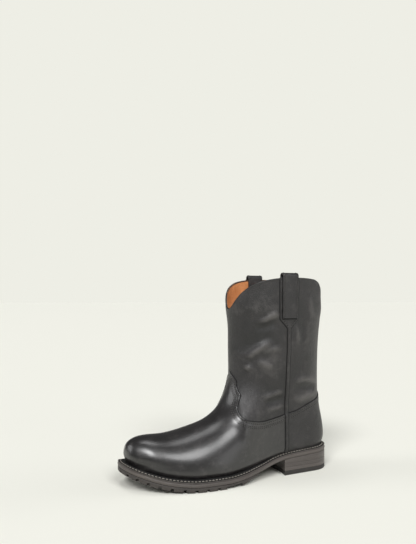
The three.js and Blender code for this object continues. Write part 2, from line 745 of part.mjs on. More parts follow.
// Pull strap: a leg outside, the loop over the collar, and a leg inside
const outsideFace = 2 * JOINT + STRIP;
const insideFace = WALL + JOINT;
function pullStrap(side, sign) {
  const loopMiddle = (outsideFace - insideFace) / 2;
  const loopOuter = (outsideFace + insideFace) / 2 + STRAP;
  const loopInner = loopOuter - STRAP;
  const bendZ = crestZ + STRAP_RISE - loopOuter;
  const loops = [];
  const across = 4;
  for (let i = 0; i <= across; i += 1) {
    const aside = STRAP_WIDTH * (i / across - 0.5);
    const wall = (z) => {
      const level = Math.min(z, crestZ);
      return halfWidth(seamX(level) + aside, level, side);
    };
    const put = (z, out) => new THREE.Vector3(seamX(z) + aside, sign * (wall(z) + out), z);
    const loop = [];
    const steps = 6;
    const rise = (from, to, out) => {
      for (let k = 0; k < steps; k += 1) loop.push(put(from + ((to - from) * k) / steps, out));
    };
    const bend = (radius, from, to) => {
      for (let k = 0; k <= steps; k += 1) {
        const turn = (Math.PI * (from + ((to - from) * k) / steps)) / 180;
        loop.push(put(bendZ + radius * Math.sin(turn), loopMiddle + radius * Math.cos(turn)));
      }
    };
    rise(strapFootZ, bendZ, outsideFace + STRAP);
    bend(loopOuter, 0, 180);
    rise(bendZ, crestZ - STRAP_INSIDE, -insideFace - STRAP);
    loop.splice(loop.length - steps, 1);
    loop.push(put(crestZ - STRAP_INSIDE, -insideFace - STRAP));
    rise(crestZ - STRAP_INSIDE, bendZ, -insideFace);
    bend(loopInner, 180, 0);
    rise(bendZ, strapFootZ, outsideFace);
    loop.splice(loop.length - steps, 1);
    loop.push(put(strapFootZ, outsideFace));
    loops.push(loop);
  }
  return capped(loops);
}

// Rings closed at both ends by a triangulated face, for a ring that bends round in its plane
function capped(loops) {
  const count = loops[0].length;
  const vertices = loops.flatMap((loop) => loop.flatMap((p) => [p.x, p.y, p.z]));
  const flat = loops[0].map((p) => new THREE.Vector2(p.y, p.z));
  const faces = THREE.ShapeUtils.triangulateShape(flat, []);
  const turned = THREE.ShapeUtils.area(flat) < 0;
  const last = (loops.length - 1) * count;
  const triangles = [];
  for (let i = 0; i < loops.length - 1; i += 1) {
    for (let j = 0; j < count; j += 1) {
      const a = i * count + j;
      const b = i * count + ((j + 1) % count);
      triangles.push(a, b, b + count, a, b + count, a + count);
    }
  }
  for (const face of faces) {
    const [a, b, c] = turned ? [face[0], face[2], face[1]] : face;
    triangles.push(a, c, b, last + a, last + b, last + c);
  }
  return solid(vertices, triangles);
}

// Finishes
const blackLeather = new THREE.MeshStandardMaterial({ color: 0x2b2a2a, roughness: 0.45 });
const strapLeather = new THREE.MeshStandardMaterial({ color: 0x242323, roughness: 0.5 });
const soleLeather = new THREE.MeshStandardMaterial({ color: 0x463f3b, roughness: 0.6 });
const soleRubber = new THREE.MeshStandardMaterial({ color: 0x33302e, roughness: 0.75 });
const tanBoard = new THREE.MeshStandardMaterial({ color: 0xb98352, roughness: 0.8 });

const group = new THREE.Group();
function place(name, made, material) {
  const mesh = made.getMesh();
  const count = mesh.numProp;
  const position = new Float32Array(mesh.numVert * 3);
  for (let i = 0; i < mesh.numVert; i += 1) {
    for (let k = 0; k < 3; k += 1) position[i * 3 + k] = mesh.vertProperties[i * count + k];
  }
  const geometry = new THREE.BufferGeometry();
  geometry.setAttribute("position", new THREE.BufferAttribute(position, 3));
  geometry.setIndex(new THREE.BufferAttribute(new Uint32Array(mesh.triVerts), 1));
  geometry.computeVertexNormals();
  const node = new THREE.Mesh(geometry, material);
  node.name = name;
  group.add(node);
}

place("upper", upper, blackLeather);
place("side_seam_lateral", seamStrip(1), strapLeather);
place("side_seam_medial", seamStrip(-1), strapLeather);
place("pull_strap_lateral", pullStrap("outer", 1), strapLeather);
place("pull_strap_medial", pullStrap("inner", -1), strapLeather);
place("insole", insole, tanBoard);
place("welt", welt, soleLeather);
place("midsole", midsole, soleLeather);
place("outsole", outsole, soleRubber);
place("heel_lift_3", liftThree, soleLeather);
place("heel_lift_2", liftTwo, soleLeather);
place("heel_lift_1", liftOne, soleLeather);
place("top_lift", topLift, soleRubber);

export default group;
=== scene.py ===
import bpy
import bmesh
import math
import numpy as np
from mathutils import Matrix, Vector


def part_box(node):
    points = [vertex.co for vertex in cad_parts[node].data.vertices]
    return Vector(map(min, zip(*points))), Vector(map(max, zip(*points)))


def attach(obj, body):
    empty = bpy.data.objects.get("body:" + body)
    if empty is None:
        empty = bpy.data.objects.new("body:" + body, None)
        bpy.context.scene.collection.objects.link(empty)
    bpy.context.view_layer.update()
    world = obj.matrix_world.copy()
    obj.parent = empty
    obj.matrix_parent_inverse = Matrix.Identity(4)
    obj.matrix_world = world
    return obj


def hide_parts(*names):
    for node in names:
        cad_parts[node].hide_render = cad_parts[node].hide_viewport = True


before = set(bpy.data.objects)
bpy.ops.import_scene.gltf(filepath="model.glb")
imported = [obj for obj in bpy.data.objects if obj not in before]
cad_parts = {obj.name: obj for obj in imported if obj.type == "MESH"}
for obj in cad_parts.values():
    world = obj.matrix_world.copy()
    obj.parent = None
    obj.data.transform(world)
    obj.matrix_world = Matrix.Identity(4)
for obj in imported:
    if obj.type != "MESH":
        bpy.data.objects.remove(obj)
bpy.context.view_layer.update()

mm = 0.001

# The studio: a plain pale floor that runs out of sight, a pale surround with broad soft lamps
# in it, and a level camera low in front of the outer side, as the photograph was taken.
picture_height = 544
horizon_row = 300
picture_scale = 584.2  # pixels for a metre seen from a metre away
camera_place = (0.474, 0.7237, 0.2418)
camera_bearing = 24.66  # degrees round from straight across the boot towards the toe

camera_data = bpy.data.cameras.new("camera")
camera_data.lens = picture_scale * camera_data.sensor_width / picture_height
camera_data.shift_y = (horizon_row - picture_height / 2) / picture_height
camera = bpy.data.objects.new("camera", camera_data)
camera.location = camera_place
camera.rotation_euler = (math.radians(90), 0, math.radians(180 - camera_bearing))
bpy.context.scene.collection.objects.link(camera)
bpy.context.scene.camera = camera
bpy.context.scene.view_settings.view_transform = "Standard"

pale = (0.855, 0.855, 0.785)
surround_strength = 0.1
lamps = (
    # name, bearing and height in degrees, brightness, width in degrees
    ("over the toe", 46, 43, 1.65, 18),
    ("over the camera", 0, 42, 1.42, 26),
    ("low over the heel", -30, 9, 0.24, 24),
    ("overhead", 150, 82, 0.42, 22),
    ("over the heel", -80, 26, 0.45, 30),
    ("beside the toe", 114, 24, 0.6, 30),
)


def studio_surround():
    world = bpy.data.worlds.new("studio")
    world.use_nodes = True
    tree = world.node_tree
    tree.nodes.clear()
    seen = tree.nodes.new("ShaderNodeBackground")
    seen.inputs["Color"].default_value = (*pale, 1)
    lit = tree.nodes.new("ShaderNodeBackground")
    lit.inputs["Color"].default_value = (1, 0.995, 0.97, 1)
    lit.inputs["Strength"].default_value = surround_strength
    chooser = tree.nodes.new("ShaderNodeLightPath")
    mix = tree.nodes.new("ShaderNodeMixShader")
    out = tree.nodes.new("ShaderNodeOutputWorld")
    tree.links.new(chooser.outputs["Is Camera Ray"], mix.inputs[0])
    tree.links.new(lit.outputs[0], mix.inputs[1])
    tree.links.new(seen.outputs[0], mix.inputs[2])
    tree.links.new(mix.outputs[0], out.inputs["Surface"])
    bpy.context.scene.world = world


def studio_lamp(name, bearing, height, brightness, width):
    data = bpy.data.lights.new("lamp " + name, "SUN")
    data.energy = brightness
    data.angle = math.radians(width)
    lamp = bpy.data.objects.new("lamp " + name, data)
    a, e = math.radians(bearing), math.radians(height)
    towards = Vector((math.sin(a) * math.cos(e), math.cos(a) * math.cos(e), math.sin(e)))
    lamp.rotation_mode = "QUATERNION"
    lamp.rotation_quaternion = towards.to_track_quat("Z", "Y")
    bpy.context.scene.collection.objects.link(lamp)


def piece(name, vertices, faces, crease=40, second=None, relief=None):
    """A mesh from points in millimetres, smooth but for edges sharper than a crease angle.
    Faces that second marks take the piece's second finish; relief is kept for the finishes."""
    data = bpy.data.meshes.new(name)
    data.from_pydata([tuple(p) for p in np.asarray(vertices, float) * mm], [], faces)
    if second is not None:
        data.polygons.foreach_set("material_index", np.array(second, np.int32))
    if relief is not None:
        lifts = data.attributes.new("relief", "FLOAT", "POINT")
        lifts.data.foreach_set("value", np.array(relief, np.float32))
    shape = bmesh.new()
    shape.from_mesh(data)
    bmesh.ops.remove_doubles(shape, verts=shape.verts, dist=1e-6)
    bmesh.ops.dissolve_degenerate(shape, edges=shape.edges, dist=1e-7)
    bmesh.ops.recalc_face_normals(shape, faces=shape.faces)
    shape.to_mesh(data)
    shape.free()
    data.shade_smooth()
    data.set_sharp_from_angle(angle=math.radians(crease))
    made = bpy.data.objects.new(name, data)
    bpy.context.scene.collection.objects.link(made)
    return made


floor_reach = 60000
floor = piece(
    "floor",
    [(x * floor_reach, y * floor_reach, -0.05) for x, y in ((-1, -1), (1, -1), (1, 1), (-1, 1))],
    [(0, 1, 2, 3)],
)
floor_finish = bpy.data.materials.new("pale floor")
floor_finish.use_nodes = True
floor_shader = floor_finish.node_tree.nodes["Principled BSDF"]
floor_shader.inputs["Base Color"].default_value = (0.86, 0.86, 0.79, 1)
floor_shader.inputs["Roughness"].default_value = 0.9
floor_shader.inputs["Specular IOR Level"].default_value = 0.1
floor.data.materials.append(floor_finish)
studio_surround()
for row in lamps:
    studio_lamp(*row)

# The shaft: two panels of black waxed cowhide, front and back, sewn together up the sides. The
# last gives the boot its form, so the sizes and sections of the whole upper are worked out
# here, the length of the upper from the frame and the rest beside it.
upper_low, upper_high = (np.array(c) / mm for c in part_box("upper"))
overlay = 1.1  # step up onto the vamp and the counter
upper_length = upper_high[0] - upper_low[0] - 2 * overlay
ball_width = 97
heel_width = 65.5
instep = 83.6
leg = 132
collar_crest = 42
shaft_depth = 138
shaft_width = 98
heel_curve = 8.6
heel_rise = 16
toe_spring = 20
wall = 2.2
joint = 0.3
rubber = 6
midsole_thick = 4.8
welt_thick = 3
welt_behind = 3.2
heel_length = 84.6
seam_ahead = 77.6
seam_lean = 4

# Share of the length; rise of the sole as shares of the heel's rise and of the toe spring
camber_rows = (
    # share, heel, toe
    (-0.029, 1.3, 0),
    (0.066, 1.2, 0),
    (0.167, 1.11, 0),
    (0.262, 1, 0),
    (0.33, 0.79, 0),
    (0.397, 0.51, 0),
    (0.465, 0.275, 0),
    (0.533, 0.094, 0),
    (0.594, 0, 0),
    (0.736, 0, 0),
    (0.783, 0, 0.06),
    (0.838, 0, 0.17),
    (0.905, 0, 0.39),
    (0.973, 0, 0.71),
    (1.044, 0, 1.13),
)
# Sections up the boot in side view, from the welt to the dips of the collar
section_rows = (
    # foot, depth, front, behind, back, camber
    (0.9865, 0, 0.005, 0.4, 0.001, 1),  # feather line
    (1, 0, 0.164, 0.07, 0.119, 0.92),  # fullest toe
    (0.983, 0, 0.357, 0, 0.232, 0.8),
    (0.931, 0, 0.507, 0.05, 0.359, 0.62),  # toe's top
    (0.812, 0, 0.587, 0.21, 0.497, 0.45),
    (0.704, 0, 0.683, 0.42, 0.641, 0.3),  # ball
    (0.55, 0.134, 0.797, 0.65, 0.797, 0.15),
    (0.3, 0.52, 1, 0.81, 0.964, 0.05),  # instep
    (0.1, 0.876, 1.182, 0.95, 1.121, 0),
    (0, 1.064, 1.394, 1, 1.333, 0),  # ankle
    (0, 1.061, 1.697, 0.98, 1.667, 0),
    (0, 1.083, 2, 0.51, 2, 0),  # dips of the collar
)
# Half widths in plan by share of the length, and how far the sole stands out past them
last_rows = (
    # share, of, outer, inner, outer stand, inner stand
    (0, heel_width, 0.481, 0.481, 0.45, 0.45),
    (0.05, heel_width, 0.405, 0.405, 0.36, 0.36),
    (0.15, heel_width, 0.504, 0.496, 0.33, 0.35),
    (0.3, heel_width, 0.542, 0.519, 0.4, 0.1),
    (0.42, ball_width, 0.412, 0.376, 0.91, 0.2),
    (0.5, ball_width, 0.459, 0.412, 1.18, 0.36),
    (0.62, ball_width, 0.51, 0.474, 1.15, 0.5),
    (0.72, ball_width, 0.51, 0.49, 1.15, 0.75),
    (0.82, ball_width, 0.469, 0.474, 1, 0.8),
    (0.91, ball_width, 0.366, 0.402, 0.95, 0.85),
    (0.96, ball_width, 0.258, 0.294, 0.75, 0.85),
    (1, ball_width, 0.412, 0.443, 0.36, 0.73),
)
# Swing of the centre line to the inner side, in shares of the ball's width
swing_rows = (
    # share, aside
    (-0.019, 0),
    (0.279, 0),
    (0.516, 0.026),
    (0.675, 0.01),
    (0.861, -0.041),
    (1.03, -0.088),
)
# Half width of the shaft by height, as a share of its width
shaft_rows = (
    # up, half
    (0.545, 0.367),
    (0.904, 0.378),
    (1.129, 0.398),
    (1.394, 0.434),
    (1.773, 0.48),
    (2.076, 0.5),
    (2.417, 0.51),
)
# Rise of the collar from dip to crest by share of the shaft's depth
collar_rows = (
    # share, rise
    (0, 0),
    (0.02, 0.22),
    (0.06, 0.58),
    (0.13, 0.85),
    (0.22, 0.96),
    (0.42, 1),
    (0.6, 0.985),
    (0.75, 0.915),
    (0.87, 0.755),
    (0.94, 0.54),
    (0.98, 0.27),
    (1, 0),
)

def hermite(xs, ys, slopes):
    def read(at):
        v = np.clip(np.asarray(at, float), xs[0], xs[-1])
        i = np.clip(np.searchsorted(xs, v, side="right") - 1, 0, len(xs) - 2)
        h = xs[i + 1] - xs[i]
        t = (v - xs[i]) / h
        u = 1 - t
        ends = (1 + 2 * t) * u * u * ys[i] + t * t * (3 - 2 * t) * ys[i + 1]
        return ends + h * (t * u * u * slopes[i] - t * t * u * slopes[i + 1])

    return read


def calm(xs, ys):
    """A curve through rows which never overshoots them."""
    xs, ys = np.asarray(xs, float), np.asarray(ys, float)
    run, rise = np.diff(xs), np.diff(ys) / np.diff(xs)
    slopes = np.zeros(len(xs))
    slopes[0], slopes[-1] = rise[0], rise[-1]
    for i in range(1, len(xs) - 1):
        if rise[i - 1] * rise[i] > 0:
            a = 2 * run[i] + run[i - 1]
            b = run[i] + 2 * run[i - 1]
            slopes[i] = (a + b) / (a / rise[i - 1] + b / rise[i])
    return hermite(xs, ys, slopes)


def flowing(xs, ys):
    """A curve that flows through rows."""
    xs, ys = np.asarray(xs, float), np.asarray(ys, float)
    slopes = np.zeros(len(xs))
    slopes[1:-1] = (ys[2:] - ys[:-2]) / (xs[2:] - xs[:-2])
    slopes[0] = (ys[1] - ys[0]) / (xs[1] - xs[0])
    slopes[-1] = (ys[-1] - ys[-2]) / (xs[-1] - xs[-2])
    return hermite(xs, ys, slopes)


def smooth(start, end, at):
    t = np.clip((np.asarray(at, float) - start) / (end - start), 0, 1)
    return t * t * (3 - 2 * t)


edge_back = -heel_length / 2
breast_x = heel_length / 2
heel_x = edge_back + welt_behind
camber_share, camber_heel, camber_toe = np.array(camber_rows, float).T
heel_camber = calm(camber_share, camber_heel)
toe_camber = calm(camber_share, camber_toe)


def camber(x):
    share = (x - heel_x) / upper_length
    return heel_rise * heel_camber(share) + toe_spring * toe_camber(share)


def midsole_bottom(x):
    return rubber + joint + camber(x)


def welt_bottom(x):
    return midsole_bottom(x) + midsole_thick + joint


def welt_top(x):
    return welt_bottom(x) + welt_thick


swing_share = calm(*np.array(swing_rows, float).T)


def swing(x):
    return ball_width * swing_share((x - heel_x) / upper_length)


seat = rubber + midsole_thick + welt_thick + 2 * joint


def height(up):
    """Height of 0 at the welt, 1 at the instep and 2 at the dips of the collar."""
    return seat + instep * np.minimum(up, 1) + leg * np.maximum(np.asarray(up, float) - 1, 0)


def up_of(z):
    return np.minimum((z - seat) / instep, 1) + np.maximum((z - seat - instep) / leg, 0)


dip_z = float(height(2))
crest_z = dip_z + collar_crest
foot, depth, front_up, behind, back_up, kept = np.array(section_rows, float).T
section_front = heel_x + upper_length * foot + shaft_depth * depth
section_back = heel_x + heel_curve * behind
section_front_z = height(front_up) + kept * camber(section_front)
section_back_z = height(back_up) + kept * camber(section_back)
rise = np.hypot(np.diff(section_front), np.diff(section_front_z))
levels = np.concatenate(([0], np.cumsum(rise))) / rise.sum()
front_at = flowing(levels, section_front)
front_z_at = flowing(levels, section_front_z)
back_at = flowing(levels, section_back)
back_z_at = flowing(levels, section_back_z)
kept_at = flowing(levels, kept)

side_view = np.linspace(0, 1, 1201)
outline_x, outline_z = front_at(side_view), front_z_at(side_view)
toe_row = int(outline_x.argmax())
toe_x, toe_z = outline_x[toe_row], outline_z[toe_row]
heel_back = back_at(side_view).min()
ridge = [i for i in range(toe_row, len(side_view)) if outline_z[i] <= height(1.32)][::-1]
ridge_x, ridge_z = outline_x[ridge], outline_z[ridge]


def under_toe(z):
    return np.interp(z, outline_z[: toe_row + 1], outline_x[: toe_row + 1])


def over_toe(z):
    return np.interp(z, outline_z[toe_row:], outline_x[toe_row:])


def back_x(z):
    return np.interp(z, back_z_at(side_view), back_at(side_view))


ridge_run_out = 42


def ridge_over(x):
    """Height of the ridge over the foot, which runs out inside the shaft behind its front."""
    gone = np.clip((ridge_x[0] - x) / ridge_run_out, 0, 1)
    kept = np.maximum((1 - gone) ** 2 * (1 + 0.9 * gone), 0.001)
    sole = welt_top(x)
    behind = sole + (ridge_z[0] - sole) / kept
    return np.where(x >= ridge_x[0], np.interp(x, ridge_x, ridge_z), behind)


last_share, last_outer, last_inner, stand_outer, stand_inner = (
    np.array([row[i] for row in last_rows], float) for i in (0, 2, 3, 4, 5)
)
last_of = np.array([row[1] for row in last_rows], float)


def plan_half(width, length):
    """Half widths in plan between two round ends."""
    full = np.empty(len(last_share))
    inside = last_share[1:-1]
    full[1:-1] = width[1:-1] / (2 * np.sqrt(inside * (1 - inside)))
    full[[0, -1]] = np.sqrt(width[[0, -1]] * length / 2)
    read = flowing(last_share, full)
    return lambda s: read(s) * 2 * np.sqrt(np.maximum(s * (1 - s), 0))


last_half_outer = plan_half(last_of * last_outer, toe_x - heel_back)
last_half_inner = plan_half(last_of * last_inner, toe_x - heel_back)
shaft_share = calm(*np.array(shaft_rows, float).T)
tuck = 0.085
tuck_height = 10
foot_roundness = 2.3
shaft_roundness = 2.15


def blend_at(z):
    """Share of the shaft's section in the foot's, which grows over the ankle."""
    return smooth(height(0.69), height(1.28), z)


def half_width(x, z, outer):
    """Half width of the upper at a length and a height, on its outer or its inner side."""
    back, low = back_x(z), z < toe_z
    share = np.clip((x - back) / (np.where(low, under_toe(z), toe_x) - back), 0, 1)
    sole = welt_top(x)
    up = np.clip((z - sole) / (ridge_over(x) - sole), 0, 1)
    drawn = np.clip(1 - (z - sole) / tuck_height, 0, 1)
    plan = np.where(outer, last_half_outer(share), last_half_inner(share))
    of_foot = plan * np.sqrt(1 - up**foot_roundness) * (1 - tuck * drawn**2)
    front = np.where(low, under_toe(z), over_toe(z))
    along = np.abs(x - (front + back) / 2) / ((front - back) / 2)
    section = np.sqrt(np.maximum(1 - along**shaft_roundness, 0))
    of_shaft = shaft_width * shaft_share(up_of(z)) * section
    return of_foot + (of_shaft - of_foot) * blend_at(z)


def centre_y(x, z):
    return swing(x) * (1 - blend_at(z))


def seam_x(z):
    return heel_x + seam_ahead + seam_lean * smooth(height(0.55), crest_z, z)


below_welt = 100  # millimetres for a level of 1 below the welt
collar_share = calm(*np.array(collar_rows, float).T)


def form(level, turn):
    """Points of the upper: level 0 at the welt, 1 at the collar; turn 0 up the back, 1 up the
    outer seam, 2 up the front, 3 up the inner seam."""
    level, turn = np.broadcast_arrays(np.asarray(level, float), np.asarray(turn, float))
    turn = np.mod(turn, 4)
    outer = turn <= 2
    t = np.where(outer, turn, 4 - turn) * math.pi / 2
    v = np.clip(level, 0, 1)
    back, front, back_z, front_z = back_at(v), front_at(v), back_z_at(v), front_z_at(v)
    seam = seam_x((back_z + front_z) / 2)
    behind_seam = back + (seam - back) * (1 - np.cos(t))
    ahead_of_seam = front - (front - seam) * (1 - np.cos(math.pi - t))
    x = np.where(t < math.pi / 2, behind_seam, ahead_of_seam)
    chord = (x - back) / (front - back)
    straight = camber(back) + (camber(front) - camber(back)) * chord
    z = back_z + (front_z - back_z) * chord + kept_at(v) * (camber(x) - straight)
    z = z + collar_crest * smooth(0.6, 1, v) * collar_share(chord)
    half = half_width(x, z, outer)
    y = centre_y(x, z) + np.where(outer, half, -half)
    return np.stack([x, y, z + below_welt * np.minimum(level, 0)], axis=-1)


def unit(v):
    return v / np.maximum(np.linalg.norm(v, axis=-1, keepdims=True), 1e-9)


def outward(level, turn):
    """Ways square to the form and out of it."""
    step = 0.003
    level = np.clip(level, 0, 1)
    up = form(level + step, turn) - form(level - step, turn)
    around = form(level, turn + step) - form(level, turn - step)
    return unit(np.cross(up, around))


def on_form(line):
    """Points of the form and outward ways at a line's spots, each a turn and a level."""
    level, turn = line[:, 1], line[:, 0]
    return form(level, turn), outward(level, turn)


# Folds of the worn-in leather. Side 1 is the outer, -1 the inner, 0 both; each runs through
# points at shares of the way from back to front and at heights as in the sections; half width
# and depth are shares of the shaft's depth from back to front, ridges more than 0.
folds = (
    (1, ((0.918, 1.485), (0.832, 1.576), (0.701, 1.67)), 0.035, 0.0226),  # long ridge to the seam
    (1, ((0.955, 1.53), (0.832, 1.667), (0.672, 1.742)), 0.070, -0.0170),  # hollow over it
    (1, ((0.88, 1.417), (0.802, 1.5), (0.686, 1.561)), 0.065, -0.0090),  # and under it
    (1, ((0.92, 1.364), (0.879, 1.413)), 0.023, 0.0136),  # over the tongue
    (1, ((0.854, 1.848), (0.768, 1.875), (0.696, 1.924), (0.633, 1.962)), 0.030, 0.0169),  # strap
    (1, ((0.857, 1.803), (0.756, 1.822), (0.655, 1.879)), 0.045, -0.0181),  # hollow under it
    (1, ((0.796, 1.545), (0.701, 1.576), (0.585, 1.598)), 0.030, 0.0112),
    (1, ((0.845, 1.47), (0.757, 1.424), (0.669, 1.402)), 0.030, 0.0101),
    (1, ((0.743, 1.076), (0.628, 1.114), (0.507, 1.144)), 0.030, 0.0136),  # over the ankle
    (1, ((0.713, 1.023), (0.613, 1.045), (0.498, 1.076)), 0.030, -0.0112),
    (1, ((0.644, 0.928), (0.563, 0.952), (0.48, 0.988)), 0.023, 0.0101),
    (1, ((0.452, 1.227), (0.275, 1.25), (0.075, 1.205)), 0.038, 0.0146),  # across the back
    (1, ((0.425, 1.159), (0.272, 1.182), (0.117, 1.152)), 0.045, -0.0136),
    (1, ((0.389, 1.023), (0.266, 1.061), (0.117, 1.098)), 0.038, 0.0155),  # over the counter
    (1, ((0.443, 1.833), (0.42, 1.735), (0.41, 1.606)), 0.023, 0.0091),  # upright, behind the seam
    (1, ((0.374, 1.879), (0.349, 1.773), (0.346, 1.667)), 0.026, -0.0091),
    (1, ((0.294, 2.152), (0.267, 2.015), (0.247, 1.879)), 0.038, 0.0101),
    (0, ((0.129, 2.242), (0.101, 2.076), (0.079, 1.886)), 0.038, 0.0091),  # down the back
    (-1, ((0.443, 1.803), (0.301, 1.826), (0.1, 1.803)), 0.038, 0.0169),  # level, inner side
    (-1, ((0.454, 1.652), (0.325, 1.682), (0.237, 1.652)), 0.038, 0.0146),
    (-1, ((0.447, 1.606), (0.309, 1.621), (0.221, 1.598)), 0.045, -0.0146),
    (-1, ((0.445, 1.227), (0.251, 1.182), (0.061, 1.144)), 0.035, 0.0146),
    (-1, ((0.439, 1.159), (0.255, 1.114), (0.076, 1.091)), 0.038, -0.0169),
    (-1, ((0.412, 1.045), (0.303, 1.03), (0.211, 1.045)), 0.030, 0.0169),
    (-1, ((0.932, 1.47), (0.773, 1.515), (0.584, 1.492)), 0.045, 0.0155),
    (-1, ((0.936, 1.394), (0.785, 1.417), (0.596, 1.394)), 0.054, -0.0155),
    (-1, ((0.847, 1.106), (0.681, 1.045), (0.526, 1.015)), 0.038, 0.0209),  # bunched over the vamp
    (-1, ((0.863, 1.174), (0.712, 1.121), (0.541, 1.091)), 0.038, -0.0174),
)


def fold_line(points):
    """Lengths and heights of a flowing line through a fold's points."""
    along, up = np.array(points, float).T
    knots = np.linspace(0, 1, len(points))
    fine = np.linspace(0, 1, 13)
    z = height(flowing(knots, up)(fine))
    front = over_toe(z)
    back = back_x(z)
    return np.stack([back + (front - back) * flowing(knots, along)(fine), z], axis=-1)


fold_lines = [fold_line(points) for _, points, _, _ in folds]
slow_wave = 0.75  # millimetres that the leather sags and swells between its folds
quick_wave = 0.25
fold_fade = 0.35  # share of a fold over which each end dies out


def fold_depth(points):
    """How far the folds lift each point of the upper, in millimetres."""
    x, y, z = points[..., 0], points[..., 1], points[..., 2]
    high = smooth(height(0.75), height(1.05), z) * smooth(crest_z, height(1.9), z)
    slow = slow_wave * np.sin(x / 17 + z / 23) * np.sin(z / 31 - x / 41 + y / 29)
    lift = slow * high + quick_wave * high * np.sin(z / 11 + 2 * np.sin(x / 19) + y / 37)
    for (side, _, half, depth), line in zip(folds, fold_lines):
        start, run = line[:-1], np.diff(line, axis=0)
        size = (run**2).sum(1)
        to_x = x[..., None] - start[:, 0]
        to_z = z[..., None] - start[:, 1]
        share = np.clip((to_x * run[:, 0] + to_z * run[:, 1]) / size, 0, 1)
        gap = np.hypot(to_x - share * run[:, 0], to_z - share * run[:, 1])
        near = gap.argmin(-1)[..., None]
        gap = np.take_along_axis(gap, near, -1)[..., 0]
        along = (near[..., 0] + np.take_along_axis(share, near, -1)[..., 0]) / len(run)
        ends = smooth(0, fold_fade, along) * smooth(1, 1 - fold_fade, along)
        shown = np.sqrt(np.maximum(ends, 0))
        here = depth * shaft_depth * shown * np.exp(-((gap / (half * shaft_depth)) ** 2))
        if side:
            here = here * smooth(-6, 8, side * y)
        lift += here
    return lift


def skin(count, size, around=False, slit=False, start=0):
    """Faces between rings of points, each ring closed but for a slit one; around joins the last
    ring to the first, and start is the number of the first point."""
    faces = []
    for i in range(count if around else count - 1):
        a, b = start + i * size, start + (i + 1) % count * size
        for j in range(size - slit):
            k = (j + 1) % size
            faces.append((a + j, a + k, b + k, b + j))
    return faces


def lofted(name, rings, around=False, capped=True, relief=None, slit=False):
    """A piece from rings of points."""
    rings = np.asarray(rings)
    count, size = rings.shape[:2]
    faces = skin(count, size, around, slit)
    if capped and not around:
        half = size // 2
        for a in (0, (count - 1) * size):
            for j in range(half - 1):
                faces.append((a + j, a + j + 1, a + size - 2 - j, a + size - 1 - j))
    return piece(name, rings.reshape(-1, 3), faces, relief=relief)


def panel(name, low, high, rows, outer, inner, rim=0.8, around=False, open_low=False):
    """A leather panel over the form between two lines of (turn, level), with rounded rims; a
    low line left open has none."""
    low, high = np.asarray(low, float), np.asarray(high, float)
    shares = np.linspace(0, 1, rows)[:, None]
    path = np.array([on_form(low + (high - low) * s)[0] for s in shares])
    length = np.linalg.norm(np.diff(path, axis=0), axis=2).sum(0)
    rims = ((0, inner), (0, outer - 0.7 * rim), (0.3 * rim, outer), (rim, outer + 0.3 * rim))
    rims += ((1.8 * rim, outer + 0.2 * rim), (2.8 * rim, outer))
    steps = [(0, 0, outer)] if open_low else [(0, d, h) for d, h in rims[1:]]
    steps += [(s, 0, outer) for s in np.linspace(0, 1, rows)[3:-3]]
    steps += [(1, -d, h) for d, h in rims[:0:-1]]
    outside, inside, relief = [], [], []
    for share, aside, lift in steps:
        s = np.clip(share + aside / np.maximum(length, 1), 0, 1)[:, None]
        at, out = on_form(low + (high - low) * s)
        fold = fold_depth(at)[:, None]
        relief.append(fold[:, 0])
        outside.append(at + out * (lift + fold))
        inside.append(at + out * (inner + fold))
    rings = np.concatenate([outside, inside[::-1]]).transpose(1, 0, 2)
    lifts = np.concatenate([relief, relief[::-1]]).T.ravel()
    return lofted(name, rings, around, relief=lifts, slit=open_low)


# Painted shade: the black that the hollows of the folds take, where shade falls.
painted_hollow_shade = (0.004, 0.004, 0.004)
grain_depth = 0.35 * mm
wrinkle_height = 3.2  # in grain depths


